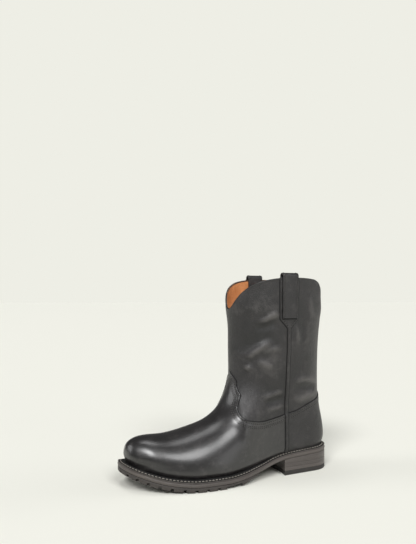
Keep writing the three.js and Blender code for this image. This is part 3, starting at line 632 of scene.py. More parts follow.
def leather(name, colours, roughness, grain, coat=0.0, worn=None, drawn=(1, 1, 1)):
    """Leather, and what is finished like it: two tones in soft clouds, a fine pebbled grain and
    uneven polish, and a worn tone on the tops of folds and in rubbed smears, with painted
    shade, black, in the hollows of the folds. Its marks are drawn out where drawn isn't 1."""
    finish = bpy.data.materials.new(name)
    finish.use_nodes = True
    tree = finish.node_tree
    shader = tree.nodes["Principled BSDF"]
    shader.inputs["IOR"].default_value = 1.6 if coat else 1.5
    shader.inputs["Specular IOR Level"].default_value = 0.5 - coat / 5
    shader.inputs["Coat Weight"].default_value = coat
    shader.inputs["Coat Roughness"].default_value = 0.25
    place = tree.nodes.new("ShaderNodeTexCoord")
    stretched = tree.nodes.new("ShaderNodeMapping")
    stretched.inputs["Scale"].default_value = drawn
    tree.links.new(place.outputs["Object"], stretched.inputs["Vector"])

    def texture(kind, scale, **settings):
        made = tree.nodes.new(kind)
        made.inputs["Scale"].default_value = scale
        for key, value in settings.items():
            made.inputs[key].default_value = value
        tree.links.new(stretched.outputs["Vector"], made.inputs["Vector"])
        return made

    def ranged(source, low, high, start=0.3, end=0.7):
        made = tree.nodes.new("ShaderNodeMapRange")
        keys = ("From Min", "From Max", "To Min", "To Max")
        for key, value in zip(keys, (start, end, low, high)):
            made.inputs[key].default_value = value
        tree.links.new(source, made.inputs["Value"])
        return made.outputs["Result"]

    clouds = texture("ShaderNodeTexNoise", 38, Detail=4, Roughness=0.6)
    tones = tree.nodes.new("ShaderNodeMix")
    tones.data_type = "RGBA"
    tones.inputs["A"].default_value = (*colours[0], 1)
    tones.inputs["B"].default_value = (*colours[1], 1)
    tree.links.new(ranged(clouds.outputs["Fac"], 0, 1), tones.inputs["Factor"])
    smears = texture("ShaderNodeTexNoise", 85, Detail=6, Roughness=0.7)
    colour = tones.outputs["Result"]
    if worn:
        relief = tree.nodes.new("ShaderNodeAttribute")
        relief.attribute_name = "relief"
        folded = ranged(relief.outputs["Fac"], -0.9, 1, -1.8, 2.3)
        rubbed = ranged(smears.outputs["Fac"], -0.3, 0.5, 0.35, 0.72)
        both = tree.nodes.new("ShaderNodeMath")
        tree.links.new(folded, both.inputs[0])
        tree.links.new(rubbed, both.inputs[1])
        # The worn tone on the fold tops is wear; the black where the relief sinks is painted shade.
        for other, *span in ((worn, 0, 1, 0, 1), (painted_hollow_shade, 0, 0.9, 0, -1)):
            turned = ranged(both.outputs[0], *span)
            tint = tree.nodes.new("ShaderNodeMix")
            tint.data_type = "RGBA"
            tree.links.new(turned, tint.inputs["Factor"])
            tree.links.new(colour, tint.inputs["A"])
            tint.inputs["B"].default_value = (*other, 1)
            colour = tint.outputs["Result"]
    tree.links.new(colour, shader.inputs["Base Color"])
    polish = ranged(smears.outputs["Fac"], roughness - 0.08, roughness + 0.1)
    tree.links.new(polish, shader.inputs["Roughness"])
    pebbles = texture("ShaderNodeTexVoronoi", 900, Randomness=1)
    wrinkles = texture("ShaderNodeTexNoise", 150, Detail=8, Roughness=0.68, Distortion=0.6)
    height_of = tree.nodes.new("ShaderNodeMath")
    height_of.operation = "MULTIPLY_ADD"
    tree.links.new(wrinkles.outputs["Fac"], height_of.inputs[0])
    height_of.inputs[1].default_value = wrinkle_height
    tree.links.new(ranged(pebbles.outputs["Distance"], 1, 0, 0, 0.6), height_of.inputs[2])
    bump = tree.nodes.new("ShaderNodeBump")
    bump.inputs["Strength"].default_value = grain
    bump.inputs["Distance"].default_value = grain_depth
    tree.links.new(height_of.outputs[0], bump.inputs["Height"])
    tree.links.new(bump.outputs["Normal"], shader.inputs["Normal"])
    return finish


def finished(made, finish, slot, *nodes):
    made.data.materials.append(finish)
    # Every piece's second slot holds the black of painted shade.
    made.data.materials.append(painted_shade_black)
    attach(made, "root")
    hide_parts(*nodes)


# Upper edge of vamp and counter, by share of the way from back to front at each height
overlay_rows = (
    # along, up
    (0.99, 1.337),
    (0.977, 1.258),
    (0.964, 1.178),
    (0.935, 1.114),
    (0.94, 1.042),
    (0.929, 0.982),
    (0.889, 0.9),
    (0.818, 0.825),
    (0.729, 0.78),
    (0.613, 0.756),
    (0.528, 0.787),
    (0.429, 0.84),
    (0.344, 0.871),
    (0.274, 0.921),
    (0.196, 0.981),
    (0.082, 1.03),
    (0.031, 1.068),
    (-0.019, 1.114),
)

def spots_near(points, turn, level):
    """Turn and level of the form's spots nearest to points, from a first guess at them."""
    step = 1e-3
    for _ in range(5):
        by_level = (form(level + step, turn) - form(level - step, turn)) / (2 * step)
        by_turn = (form(level, turn + step) - form(level, turn - step)) / (2 * step)
        gap = points - form(level, turn)
        pairs = ((by_level, by_level), (by_level, by_turn), (by_turn, by_turn))
        a, b, c = ((first * other).sum(-1) for first, other in pairs)
        p, q = (gap * by_level).sum(-1), (gap * by_turn).sum(-1)
        whole = a * c - b * b
        level = np.clip(level + (c * p - b * q) / whole, 0.001, 0.999)
        turn = turn + np.clip((a * q - b * p) / whole, -0.05, 0.05)
    return np.stack([turn, level], axis=-1)


def level_line(start, end, level, count):
    """A line at one level between two turns."""
    return np.stack([np.linspace(start, end, count), np.full(count, float(level))], axis=-1)


grid_level, grid_turn = np.meshgrid(np.linspace(0.3, 1, 301), np.linspace(0, 2, 301), indexing="ij")
grid_points = form(grid_level, grid_turn)


def line_over(rows):
    """Spots on the outer side of a line given by share and height."""
    line = []
    for along, up in rows:
        z = float(height(up))
        x = float(back_x(z) + (over_toe(z) - back_x(z)) * along)
        far = (grid_points[..., 0] - x) ** 2 + (grid_points[..., 2] - z) ** 2
        best = np.unravel_index(far.argmin(), far.shape)
        line.append((grid_turn[best], grid_level[best]))
    return np.array(line)


def gone_along(points):
    """How far along a line each of its points is."""
    steps = np.linalg.norm(np.diff(points, axis=0), axis=1)
    return np.concatenate(([0], np.cumsum(steps)))


def spread(line, count):
    """A dense line's spots spread evenly along it."""
    gone = gone_along(form(line[:, 1], line[:, 0]))
    to = np.linspace(0, gone[-1], count)
    return np.stack([np.interp(to, gone, line[:, 0]), np.interp(to, gone, line[:, 1])], axis=-1)


def drawn_through(line, count):
    """A flowing line of evenly spaced spots through a few."""
    gone = gone_along(form(line[:, 1], line[:, 0]))
    to = np.linspace(0, gone[-1], 6 * count)
    dense = np.stack([flowing(gone, line[:, 0])(to), flowing(gone, line[:, 1])(to)], axis=-1)
    return spread(dense, count)


def mirrored(line, middle):
    """The same line on the inner side, seen in the front's or the back's middle turn."""
    return np.stack([2 * middle - line[::-1, 0], line[::-1, 1]], axis=-1)


def aside_of(line, by, count):
    """A line a distance below another over the form, without the parts that fold back."""
    at, out = on_form(line)
    target = at - by * np.cross(unit(np.gradient(at, axis=0)), out)
    near = np.array([np.linalg.norm(at - point, axis=1).min() for point in target])
    kept_spots = near > abs(by) * 0.96 - 0.05
    return spread(spots_near(target[kept_spots], line[kept_spots, 0], line[kept_spots, 1]), count)


cusp_row = 3
seam_row = 11
overlay_spots = line_over(overlay_rows)
overlay_spots[0] = (2, overlay_spots[0, 1] + 0.004)
overlay_spots[seam_row, 0] = 1
overlay_spots[-1, 0] = 0
tongue_top = overlay_spots[: cusp_row + 1]
vamp_side = overlay_spots[cusp_row : seam_row + 1]
counter_side = overlay_spots[seam_row:]
vamp_half = np.concatenate(
    [drawn_through(vamp_side[::-1], 110)[:-1], drawn_through(tongue_top[::-1], 45)]
)
vamp_edge = np.concatenate([vamp_half, mirrored(vamp_half, 2)[1:]])
counter_half = drawn_through(counter_side[::-1], 70)
counter_edge = np.concatenate([mirrored(counter_half, 0)[:-1], counter_half])


lasted_under = -0.03  # level of the lower edge of the vamp and the counter


def vamp_middle(edge, count, corner):
    """Where the vamp's cross lines start: along its lasted edge, then up the middle of its front
    from the station at the corner, so that none crosses the scallop."""
    bottom = level_line(1, 2, lasted_under, corner + 1)
    rise = count - corner
    share = np.linspace(0, 1, rise) ** 0.8
    top = edge[-1, 1] - 0.02
    level = lasted_under + (top - lasted_under) * share
    front = np.stack([np.full(rise, 2.0), level], axis=-1)
    return np.concatenate([bottom, front[1:]])


# Painted shade: a flat black for ribbons along grooves and edges and for the welt's top by the
# upper, where shade falls.
painted_shade_black = leather("black painted shade", ((0.003, 0.003, 0.003), (0.005, 0.005, 0.005)), 0.8, 0.2)
black_leather = leather(
    "black waxed leather",
    ((0.0055, 0.0048, 0.005), (0.0125, 0.0108, 0.0114)),
    0.38,
    0.3,
    1.0,
    (0.056, 0.051, 0.050),
)
shaft_leather = leather(
    "black shaft leather",
    ((0.0055, 0.0048, 0.005), (0.0165, 0.0143, 0.015)),
    0.46,
    0.6,
    0.08,
    (0.066, 0.061, 0.059),
)
under_edge = 0.02
shaft_inside = -1.2
for name, start, end, edge, count in (
    ("shaft_front", 1, 3, vamp_edge, 260),
    ("shaft_back", -1, 1, counter_edge, 200),
):
    low = level_line(start, end, edge[:, 1].min() - under_edge, count)
    made = panel(name, low, level_line(start, end, 1, count), 130, 0, shaft_inside)
    finished(made, shaft_leather, "upper_leather", "upper")

# The lining: a layer of tan split leather inside the whole upper, down to the insole. It is
# glued to the black leather and turned in under the bead at the collar.
tan_leather = leather("tan lining leather", ((0.56, 0.2, 0.06), (0.85, 0.38, 0.15)), 0.85, 1.0)
lining = panel(
    "lining",
    level_line(-2, 2, 0, 181)[:-1],
    level_line(-2, 2, 1, 181)[:-1],
    60,
    -1.25,
    -wall,
    rim=0.3,
    around=True,
)
finished(lining, tan_leather, "upper_leather", "upper")

# The collar's bead: a thin strip of the shaft's own leather, rolled over the raw top edge of
# shaft and lining and sewn down to bind them.
bead_radius = 1.4


def cord_along(name, middles, directions_a, directions_b, radius, sides, around):
    turns = np.linspace(0, 2 * math.pi, sides, endpoint=False)
    rings = [
        middles + radius * (math.cos(a) * directions_a + math.sin(a) * directions_b) for a in turns
    ]
    return lofted(name, np.array(rings).transpose(1, 0, 2), around)


collar_turns = np.linspace(0, 4, 400, endpoint=False)
collar_line = form(np.ones(400), collar_turns)
collar_out = outward(np.ones(400), collar_turns)
bead_middle = collar_line - collar_out * wall / 2 + np.array([0, 0, -bead_radius * 0.7])
bead_middle = bead_middle + collar_out * fold_depth(collar_line)[:, None]
collar_bead = cord_along(
    "collar_bead",
    bead_middle,
    collar_out,
    np.broadcast_to(np.array([0, 0, 1.0]), collar_out.shape),
    bead_radius,
    10,
    True,
)
finished(collar_bead, shaft_leather, "upper_leather", "upper")

# The vamp: one piece of leather over the foot, lasted under at the sole, with a scalloped
# # tongue up the front of the shaft. Its edge is turned and sewn down with three rows, and a black
# # line of painted shadow runs round it on the shaft.
def painted_shade_ribbons(name, lines, half, slot, *nodes):
    """Painted shade: black ribbons, each flat and pressed into the leather along a line, where a
    furrow or the gap beside an edge falls in shade.
    """
    vertices, faces = [], []
    for points, outs in lines:
        side = np.cross(unit(np.gradient(points, axis=0)), outs)
        shoulder = 0.7 * half
        rows = ((-half, -0.25), (-shoulder, 0.05), (shoulder, 0.05), (half, -0.25))
        ring = np.stack([points + side * a + outs * h for a, h in rows], axis=1)
        base = len(vertices)
        vertices += [tuple(p) for p in ring.reshape(-1, 3)]
        faces += skin(len(points), 4, start=base)
    made = piece(name, vertices, faces, 20)
    finished(made, painted_shade_black, slot, *nodes)


def threads(name, lines, finish, slot, *nodes, length=2.5, gap=0.9, radius=0.32):
    """Stitches laid along lines of (points, outward ways), each a rounded thread that dips in."""
    sides = 6
    rounds = np.linspace(0, 2 * math.pi, sides, endpoint=False)
    profile = (
        # share of the half length, share of the radius, rise in radii
        (-1, 0.25, -0.6),
        (-0.75, 0.85, 0.05),
        (0, 1, 0.35),
        (0.75, 0.85, 0.05),
        (1, 0.25, -0.6),
    )
    vertices, faces = [], []
    for points, outs in lines:
        gone = gone_along(points)
        count = int(gone[-1] / (length + gap))
        middles = (np.arange(count) + 0.5) * gone[-1] / count

        def read(values, at):
            return np.stack([np.interp(at, gone, values[:, i]) for i in range(3)], axis=-1)

        middle = read(points, middles)
        way = unit(read(points, middles + length / 3) - read(points, middles - length / 3))
        out = unit(read(outs, middles))
        side = np.cross(way, out)
        for m, w, o, s in zip(middle, way, out, side):
            base = len(vertices)
            for step, size, rise_of in profile:
                centre = m + w * step * length / 2 + o * rise_of * radius
                for a in rounds:
                    vertices.append(centre + radius * size * (math.cos(a) * o + math.sin(a) * s))
            faces += skin(len(profile), sides, start=base)
            for end in (base, base + (len(profile) - 1) * sides):
                faces.append(tuple(end + j for j in range(sides)))
    made = piece(name, vertices, faces, 80)
    finished(made, finish, slot, *nodes)


black_thread = leather("black thread", ((0.05, 0.046, 0.043), (0.085, 0.078, 0.072)), 0.5, 0.5)


def sewn(name, lines, half, slot, *nodes, **stitch):
    """Rows of black stitches, each sunk in a furrow with a black ribbon of painted shade under it.
    """
    threads(name + "_stitches", lines, black_thread, slot, *nodes, **stitch)
    painted_shade_ribbons(name + "_painted_shade", lines, half, slot, *nodes)


def over_panel(line, lift):
    """Points and outward ways of a line of spots, lifted onto a panel's face."""
    at, out = on_form(line)
    return at + out * (lift + fold_depth(at)[:, None]), out


row_insets = (2.6, 6.4, 8.6)
row_lift = overlay + 0.06
shade_aside = -0.55


def sewn_edge(name, edge, insets, row_spots, shade_spots):
    """Rows of stitches along a panel's upper edge, and a black line of painted shadow beside the
    edge.
    """
    rows = [over_panel(aside_of(edge, by, row_spots), row_lift) for by in insets]
    sewn(name, rows, 0.55, "upper_leather", "upper")
    shade = [over_panel(aside_of(edge, shade_aside, shade_spots), 0.05)]
    painted_shade_ribbons(name + "_painted_shadow", shade, 0.65, "upper_leather", "upper")


toe_corner = 62  # station of the vamp's cross lines that starts at the tip of the toe
vamp_start = vamp_middle(vamp_half, len(vamp_half), toe_corner)
vamp_start = np.concatenate([vamp_start, mirrored(vamp_start, 2)[1:]])
vamp = panel("vamp", vamp_start, vamp_edge, 120, overlay, 0.05, rim=0.7, open_low=True)
finished(vamp, black_leather, "upper_leather", "upper")
# Three rows of stitches over ribbons of painted shade, and a black line of painted shadow beside
# the vamp's edge.
sewn_edge("vamp", vamp_edge, row_insets, 300, 400)

# The counter: a piece of the shaft's leather round the heel, with a stiffener under it. It is
# sewn over the back panel with two rows, and lasted under at the sole like the vamp.
counter = panel(
    "counter",
    level_line(-1, 1, lasted_under, len(counter_edge)),
    counter_edge,
    90,
    overlay,
    0.05,
    rim=0.7,
)
finished(counter, shaft_leather, "upper_leather", "upper")
# Two rows of stitches over ribbons of painted shade, and a black line of painted shadow beside the
# counter's edge.
sewn_edge("counter", counter_edge, row_insets[:2], 200, 300)

# The side seams: a narrow rolled strip of leather sewn over the joint of the two panels, which
# widens into a pointed head under the foot of the pull strap.
strip_thick = 1.5
strip_width = 5
strap_width = 24
strap_outside = 55
strap_inside = 55
strap_rise = 6.7
strap_thick = 2.2
head_border = 2.5
head_foot = 1
head_point = 13
strap_foot_z = crest_z - strap_outside
overlay_x = [
    float(back_x(height(u)) + (over_toe(height(u)) - back_x(height(u))) * a)
    for a, u in overlay_rows
]
overlay_z = [float(height(u)) for a, u in overlay_rows]
rows_behind_tongue = 14


def overlay_under(x, z):
    """Step that the vamp and the counter make under the seam strip."""
    known = slice(-1, -1 - rows_behind_tongue, -1)
    edge = np.interp(x, overlay_x[known], overlay_z[known])
    return overlay * smooth(edge + 0.6, edge - 0.6, z)


def on_side(x, z, outer, lift):
    """A point lifted off the upper's side at a length and a height, along its outward way."""
    sign = 1 if outer else -1
    step = 0.5

    def y_of(x, z):
        return centre_y(x, z) + sign * half_width(x, z, outer)

    y = y_of(x, z)
    slope_x = (y_of(x + step, z) - y_of(x - step, z)) / (2 * step)
    slope_z = (y_of(x, z + step) - y_of(x, z - step)) / (2 * step)
    out = unit(np.stack([-slope_x * sign, np.full_like(y, sign), -slope_z * sign], axis=-1))
    point = np.stack([x, y, z], axis=-1)
    return point + out * (np.asarray(lift) + fold_depth(point))[..., None]


def side_line(x, z, outer, lift):
    """A line lifted off the upper's side, with its outward ways."""
    base = on_side(x, z, outer, lift)
    return base, unit(on_side(x, z, outer, lift + 1) - base)


strip_profile = (
    # share of the half width, height as a share of the thickness
    (1.0, -0.1),
    (1.0, 0.45),
    (0.9, 0.75),
    (0.62, 1.0),
    (0.3, 1.12),
    (0.0, 1.15),
)


def strip_half(z):
    shoulder = strap_foot_z - head_foot
    wide = strap_width / 2 + head_border
    share = np.clip((z - shoulder + head_point) / head_point, 0, 1)
    return strip_width / 2 + (wide - strip_width / 2) * share


def seam_strip(name, outer, node):
    low = float(welt_top(seam_x(0))) + joint
    z = np.concatenate(
        [
            np.linspace(low, strap_foot_z - head_foot - head_point, 90)[:-1],
            np.linspace(strap_foot_z - head_foot - head_point, strap_foot_z - head_foot, 16)[:-1],
            np.linspace(strap_foot_z - head_foot, crest_z + 0.6, 30),
        ]
    )
    half = strip_half(z)
    flat = smooth(strip_width * 0.6, strip_width * 1.6, half)
    rows = [(-s, h) for s, h in strip_profile] + [(s, h) for s, h in strip_profile[::-1][1:]]
    ring = []
    for share, rise in rows:
        border = 1 - (1 - abs(share)) * strip_width / 2 / half
        top = strip_thick * (rise + (min(rise, 1.0) - rise) * flat)
        x = seam_x(z) + half * np.sign(share) * border
        level_z = np.minimum(z, crest_z - 0.2)
        side = on_side(x, level_z, outer, top + overlay_under(x, level_z))
        side[:, 2] = z
        ring.append(side)
    rings = np.array(ring).transpose(1, 0, 2)
    made = lofted(name, rings, capped=False)
    finished(made, shaft_leather, "strap_leather", node)


seam_strip("side_seam_outer", True, "side_seam_lateral")
seam_strip("side_seam_inner", False, "side_seam_medial")


def beside_strip(outer, by, rise, low, high, count):
    """A line on the upper's side that follows the strip's edge at a distance from it."""
    z = np.linspace(low, high, count)
    x = seam_x(z) + np.sign(by) * strip_half(z) + by
    return side_line(x, z, outer, overlay_under(x, z) + rise)


strip_low = float(welt_top(seam_x(0))) + joint
strip_lines = [
    beside_strip(outer, by, 0.05, strip_low, crest_z - 0.5, 260)
    for outer in (True, False)
    for by in (-0.5, 0.5)
]
both_seams = ("side_seam_lateral", "side_seam_medial")
# Painted shade: black ribbons along both edges of each seam strip, where the gap beside it falls in
# shade.
painted_shade_ribbons("seam_painted_shade", strip_lines, 0.8, "strap_leather", *both_seams)
head_inset = 3.4  # of the point's stitches from the strip's edge
fine_stitch = {"length": 2.2, "gap": 0.8}
head_lines, foot_lines = [], []
for outer in (True, False):
    for sign in (-1, 1):
        z = np.linspace(strap_foot_z - head_foot - head_point + 2, strap_foot_z - 1.5, 14)
        x = seam_x(z) + sign * np.maximum(strip_half(z) - head_inset, 0.2)
        head_lines.append(side_line(x, z, outer, np.full(14, strip_thick + 0.05)))
    x = seam_x(strap_foot_z) + np.linspace(-strap_width / 2, strap_width / 2, 20)
    z = np.full(20, strap_foot_z - 0.9)
    foot_lines.append(side_line(x, z, outer, np.full(20, strip_thick + 0.1)))
# Stitches round the head's point, over ribbons of painted shade.
sewn("head", head_lines, 0.6, "strap_leather", *both_seams, **fine_stitch, radius=0.34)
painted_shade_ribbons("strap_foot_shadow", foot_lines, 0.8, "strap_leather", *both_seams)

# The pull straps: a folded band of leather on each side, sewn down outside over the seam's head
# and inside to the lining, and left as an open loop over the collar.
strap_out = 2 * joint + strip_thick
strap_in = wall + joint
strap_sewn = 58  # stations of the band with a stitched border, its outer run and its loop
border_inset = 2.6


def pull_strap(name, outer, node):
    sign = 1 if outer else -1
    middle = (strap_out - strap_in) / 2
    radius = (strap_out + strap_in) / 2 + strap_thick / 2
    bend_z = crest_z + strap_rise - radius - strap_thick / 2
    path = [(z, strap_out + strap_thick / 2, 1, 0) for z in np.linspace(strap_foot_z, bend_z, 40)]
    for a in np.linspace(0, math.pi, 17)[1:-1]:
        out = middle + radius * math.cos(a)
        path.append((bend_z + radius * math.sin(a), out, math.cos(a), math.sin(a)))
    path += [
        (z, -strap_in - strap_thick / 2, -1, 0)
        for z in np.linspace(bend_z, crest_z - strap_inside, 30)
    ]
    z, out, face_out, face_up = np.array(path).T
    edge = 0.7
    half = strap_width / 2
    across = np.concatenate(
        [
            [-half, -half + 0.25 * edge, -half + edge, -half + 3 * edge],
            np.linspace(-half + 4 * edge, half - 4 * edge, 7),
            [half - 3 * edge, half - edge, half - 0.25 * edge, half],
        ]
    )
    swell = np.concatenate([[0.35, 0.8, 1.1, 1.0], np.full(7, 0.92), [1.0, 1.1, 0.8, 0.35]])
    rows = [(a, s) for a, s in zip(across, swell)]
    rows += [(a, -s) for a, s in zip(across[::-1], swell[::-1])]
    level = np.minimum(z, crest_z - 0.2)

    def lengthwise(aside, lift):
        """A line along the band, to one side of its middle and lifted off it."""
        x = seam_x(level) + aside
        y = sign * (half_width(x, level, outer) + out + lift * face_out)
        return np.stack([x, y, z + lift * face_up], axis=-1)

    ring = [lengthwise(aside, strap_thick / 2 * s) for aside, s in rows]
    made = lofted(name, np.array(ring).transpose(1, 0, 2))
    finished(made, shaft_leather, "strap_leather", node)
    faces_out = np.stack([0 * z, sign * face_out, face_up], axis=-1)[:strap_sewn]
    lines = []
    for aside in (border_inset - half, half - border_inset):
        points = lengthwise(aside, strap_thick / 2 + 0.05)[:strap_sewn]
        lines.append((points, faces_out))
    # Border stitches of the strap, over ribbons of painted shade.
    sewn(name, lines, 0.5, "strap_leather", node, **fine_stitch, radius=0.28)


pull_strap("pull_strap_outer", True, "pull_strap_lateral")
pull_strap("pull_strap_inner", False, "pull_strap_medial")

# The insole: a board of tan leather inside the boot, dished a little. The upper's lower edge is
# lasted round it, and the two are sewn to the welt together.
insole_thick = 3
insole_clear = wall + 1
insole_back_z = 36
insole_dish = 0.8


def across_form(x, z, inset):
    """Inner and outer edge of the upper's hollow at a length and a height."""
    outer = centre_y(x, z) + half_width(x, z, True) - inset
    inner = centre_y(x, z) - half_width(x, z, False) + inset
    return inner, outer


def insole_board():
    back = back_x(insole_back_z) + insole_clear
    front = under_toe(float(welt_top(toe_x)) + joint + insole_thick) - insole_clear
    x = back + (front - back) * (1 - np.cos(np.linspace(0.05, math.pi - 0.05, 60))) / 2
    rings = []
    for lift, dish in ((0, 0), (insole_thick, insole_dish)):
        z = welt_top(x) + joint + lift
        inner, outer = across_form(x, z, wall + joint)
        shares = np.linspace(0, 1, 13)
        if lift:
            shares = shares[::-1]
        for s in shares:
            sunk = dish * (1 - (2 * s - 1) ** 2)
            rings.append(np.stack([x, inner + (outer - inner) * s, z - sunk], axis=-1))
    return lofted("insole_board", np.array(rings).transpose(1, 0, 2))


finished(insole_board(), tan_leather, "insole_leather", "insole")

# The welt: a strip of sole leather round the whole boot, sewn to the upper's edge out of sight
# and to the midsole through its top, with its edge trimmed, dyed and burnished.
welt_stand = 5.5
welt_ahead = 7.5
welt_under = 8
edge_front = toe_x + welt_ahead
sole_half_outer = plan_half(last_of * last_outer + welt_stand * stand_outer, edge_front - edge_back)
sole_half_inner = plan_half(last_of * last_inner + welt_stand * stand_inner, edge_front - edge_back)
sole_stations = 480


def sole_ring():
    """The sole's edge in plan, evenly spaced from the back along the outer side and home."""
    fine = np.linspace(0, math.pi, 2001)
    share = (1 - np.cos(fine)) / 2
    x = edge_back + (edge_front - edge_back) * share
    lines = []
    for half, sign in ((sole_half_outer, 1), (sole_half_inner, -1)):
        y = swing(x) + sign * half(share)
        gone = gone_along(np.stack([x, y], axis=-1))
        to = np.linspace(0, gone[-1], sole_stations // 2 + 1)
        lines.append(np.stack([np.interp(to, gone, x), np.interp(to, gone, y)], axis=-1))
    return np.concatenate([lines[0], lines[1][::-1][1:-1]])


sole_edge = sole_ring()
sole_tangent = unit(np.roll(sole_edge, -1, 0) - np.roll(sole_edge, 1, 0))
sole_inward = np.stack([sole_tangent[:, 1], -sole_tangent[:, 0]], axis=-1)


def edge_rings(edge, inward, rows):
    """Rings inside an edge in plan from rows of (inset, height by length, rise over it)."""
    rings = []
    for inset, height_at, rise in rows:
        flat = edge + inward * inset
        rings.append(np.column_stack([flat, height_at(flat[:, 0]) + rise]))
    return np.concatenate(rings)


def layer(name, rows, closed=True, painted_shade_rows=()):
    """A layer of the sole from rows of (inset, height as a function of length), closed above
    and below or not; the faces over painted shade rows take the piece's second finish, the
    black of painted shade."""
    size = sole_stations
    faces = skin(len(rows), size)
    if closed:
        for a in (0, (len(rows) - 1) * size):
            faces += [
                (a + j, a + j + 1, a + size - j - 1, a + (size - j) % size)
                for j in range(1, size // 2 - 1)
            ]
            faces += [(a, a + 1, a + size - 1)]
            faces += [(a + size // 2 - 1, a + size // 2, a + size // 2 + 1)]
    painted_shade_faces = [i // size in painted_shade_rows for i in range(len(faces))]
    return piece(name, edge_rings(sole_edge, sole_inward, rows), faces, second=painted_shade_faces)


sole_leather = leather(
    "edge dyed sole leather",
    ((0.055, 0.046, 0.042), (0.10, 0.085, 0.076)),
    0.45,
    0.5,
    0.1,
    drawn=(0.2, 0.2, 3),
)
welt_in = welt_stand + welt_under - 1
# Painted shade: the welt's top from just inside its rim in to the upper, channel included, is
# black, for the crevice under the upper.
painted_shade_channel_rows = (7, 8, 9, 10)
welt_rows = [
    (welt_in, welt_bottom, 0),
    (0.5, welt_bottom, 0),
    (0.12, welt_bottom, 0.25),
    (0, welt_bottom, 0.9),
    (0.1, welt_top, -2.9),
    (0.35, welt_top, -2.3),
    (0.8, welt_top, -2.05),
    (1.2, welt_top, -2.1),
    (1.6, welt_top, -2.6),
    (3.2, welt_top, -1.5),
    (4.6, welt_top, 0),
    (welt_in, welt_top, 0),
    (welt_in, welt_bottom, 0),
]
welt = layer("welt_strip", welt_rows, closed=False, painted_shade_rows=painted_shade_channel_rows)
finished(welt, sole_leather, "sole_leather", "welt")
stitch_inset = 3.3
stitch_sunk = 1.1  # below the welt's top, in the channel cut along it
stitch_line = sole_edge + sole_inward * stitch_inset
stitch_line = np.column_stack([stitch_line, welt_top(stitch_line[:, 0]) - stitch_sunk])
stitch_line = np.concatenate([stitch_line, stitch_line[:1]])
stitch_out = unit(np.column_stack([-0.4 * sole_inward, np.ones(sole_stations)]))
stitch_out = np.concatenate([stitch_out, stitch_out[:1]])
thread_tones = ((0.2, 0.18, 0.155), (0.3, 0.275, 0.24))
waxed_thread = leather("waxed welt thread", thread_tones, 0.6, 0.4)
threads(
    "welt_stitches",
    [(stitch_line, stitch_out)],
    waxed_thread,
    "sole_leather",
    "welt",
    length=3.3,
    gap=1.3,
    radius=0.6,
)

# The midsole: a layer of sole leather from heel to toe, cemented and sewn under the welt. Its
# edge is trimmed, dyed and burnished in one with the welt's, and swells a little.
midsole_inset = 0.1
midsole_swell = 0.6
midsole_rows = [
    (midsole_inset + 0.5, midsole_bottom, 0),
    (midsole_inset + 0.12, midsole_bottom, 0.2),
    (midsole_inset, midsole_bottom, 0.6),
    (midsole_inset - midsole_swell, midsole_bottom, midsole_thick / 2),
    (midsole_inset, midsole_bottom, midsole_thick - 0.6),
    (midsole_inset + 0.12, midsole_bottom, midsole_thick - 0.2),
    (midsole_inset + 0.5, midsole_bottom, midsole_thick),
]
midsole = layer("midsole_layer", midsole_rows)
finished(midsole, sole_leather, "sole_leather", "midsole")

# The forepart: a rubber half sole cemented under the midsole, thinned out behind at the waist,
# with lugs moulded round its edge and bars across its middle.
waist = 41.7
feather_run = 38
feather_share = 0.2
lug_depth = 3.2
lug_groove = 4
lug_pitch = 15
lug_reach = 19
bar_length = 34
past_edge = 6  # how far the grooves' cutters run out of the rubber
past_tread = 8
forepart_back = breast_x + waist
forepart_full = forepart_back + feather_run


def forepart_top(x):
    return midsole_bottom(x) - joint


def tread(x):
    share = feather_share + (1 - feather_share) * smooth(forepart_back, forepart_full, x)
    return forepart_top(x) - rubber * share


def carved(body, cutters, name):
    """The body with the cutters taken out of it."""
    joined = bpy.data.objects.new(name + " cutters", cutters)
    bpy.context.scene.collection.objects.link(joined)
    cut = body.modifiers.new("cut", "BOOLEAN")
    cut.operation = "DIFFERENCE"
    cut.solver = "EXACT"
    cut.use_self = True
    cut.object = joined
    seen = bpy.context.evaluated_depsgraph_get()
    data = bpy.data.meshes.new_from_object(body.evaluated_get(seen))
    body.modifiers.remove(cut)
    body.data = data
    bpy.data.objects.remove(joined)
    data.shade_smooth()
    data.set_sharp_from_angle(angle=math.radians(30))
    return body


def block(shape, start, end, width, low, high):
    """A box from one spot to another in plan, added to the cutters."""
    run = unit(end - start)
    side = np.array([-run[1], run[0]]) * width / 2
    corners = [start + side, start - side, end - side, end + side]
    verts = [shape.verts.new((*(c * mm), z * mm)) for z in (low, high) for c in corners]
    quads = ((0, 1, 2, 3), (7, 6, 5, 4), (0, 4, 5, 1), (1, 5, 6, 2), (2, 6, 7, 3), (3, 7, 4, 0))
    for quad in quads:
        shape.faces.new([verts[i] for i in quad])


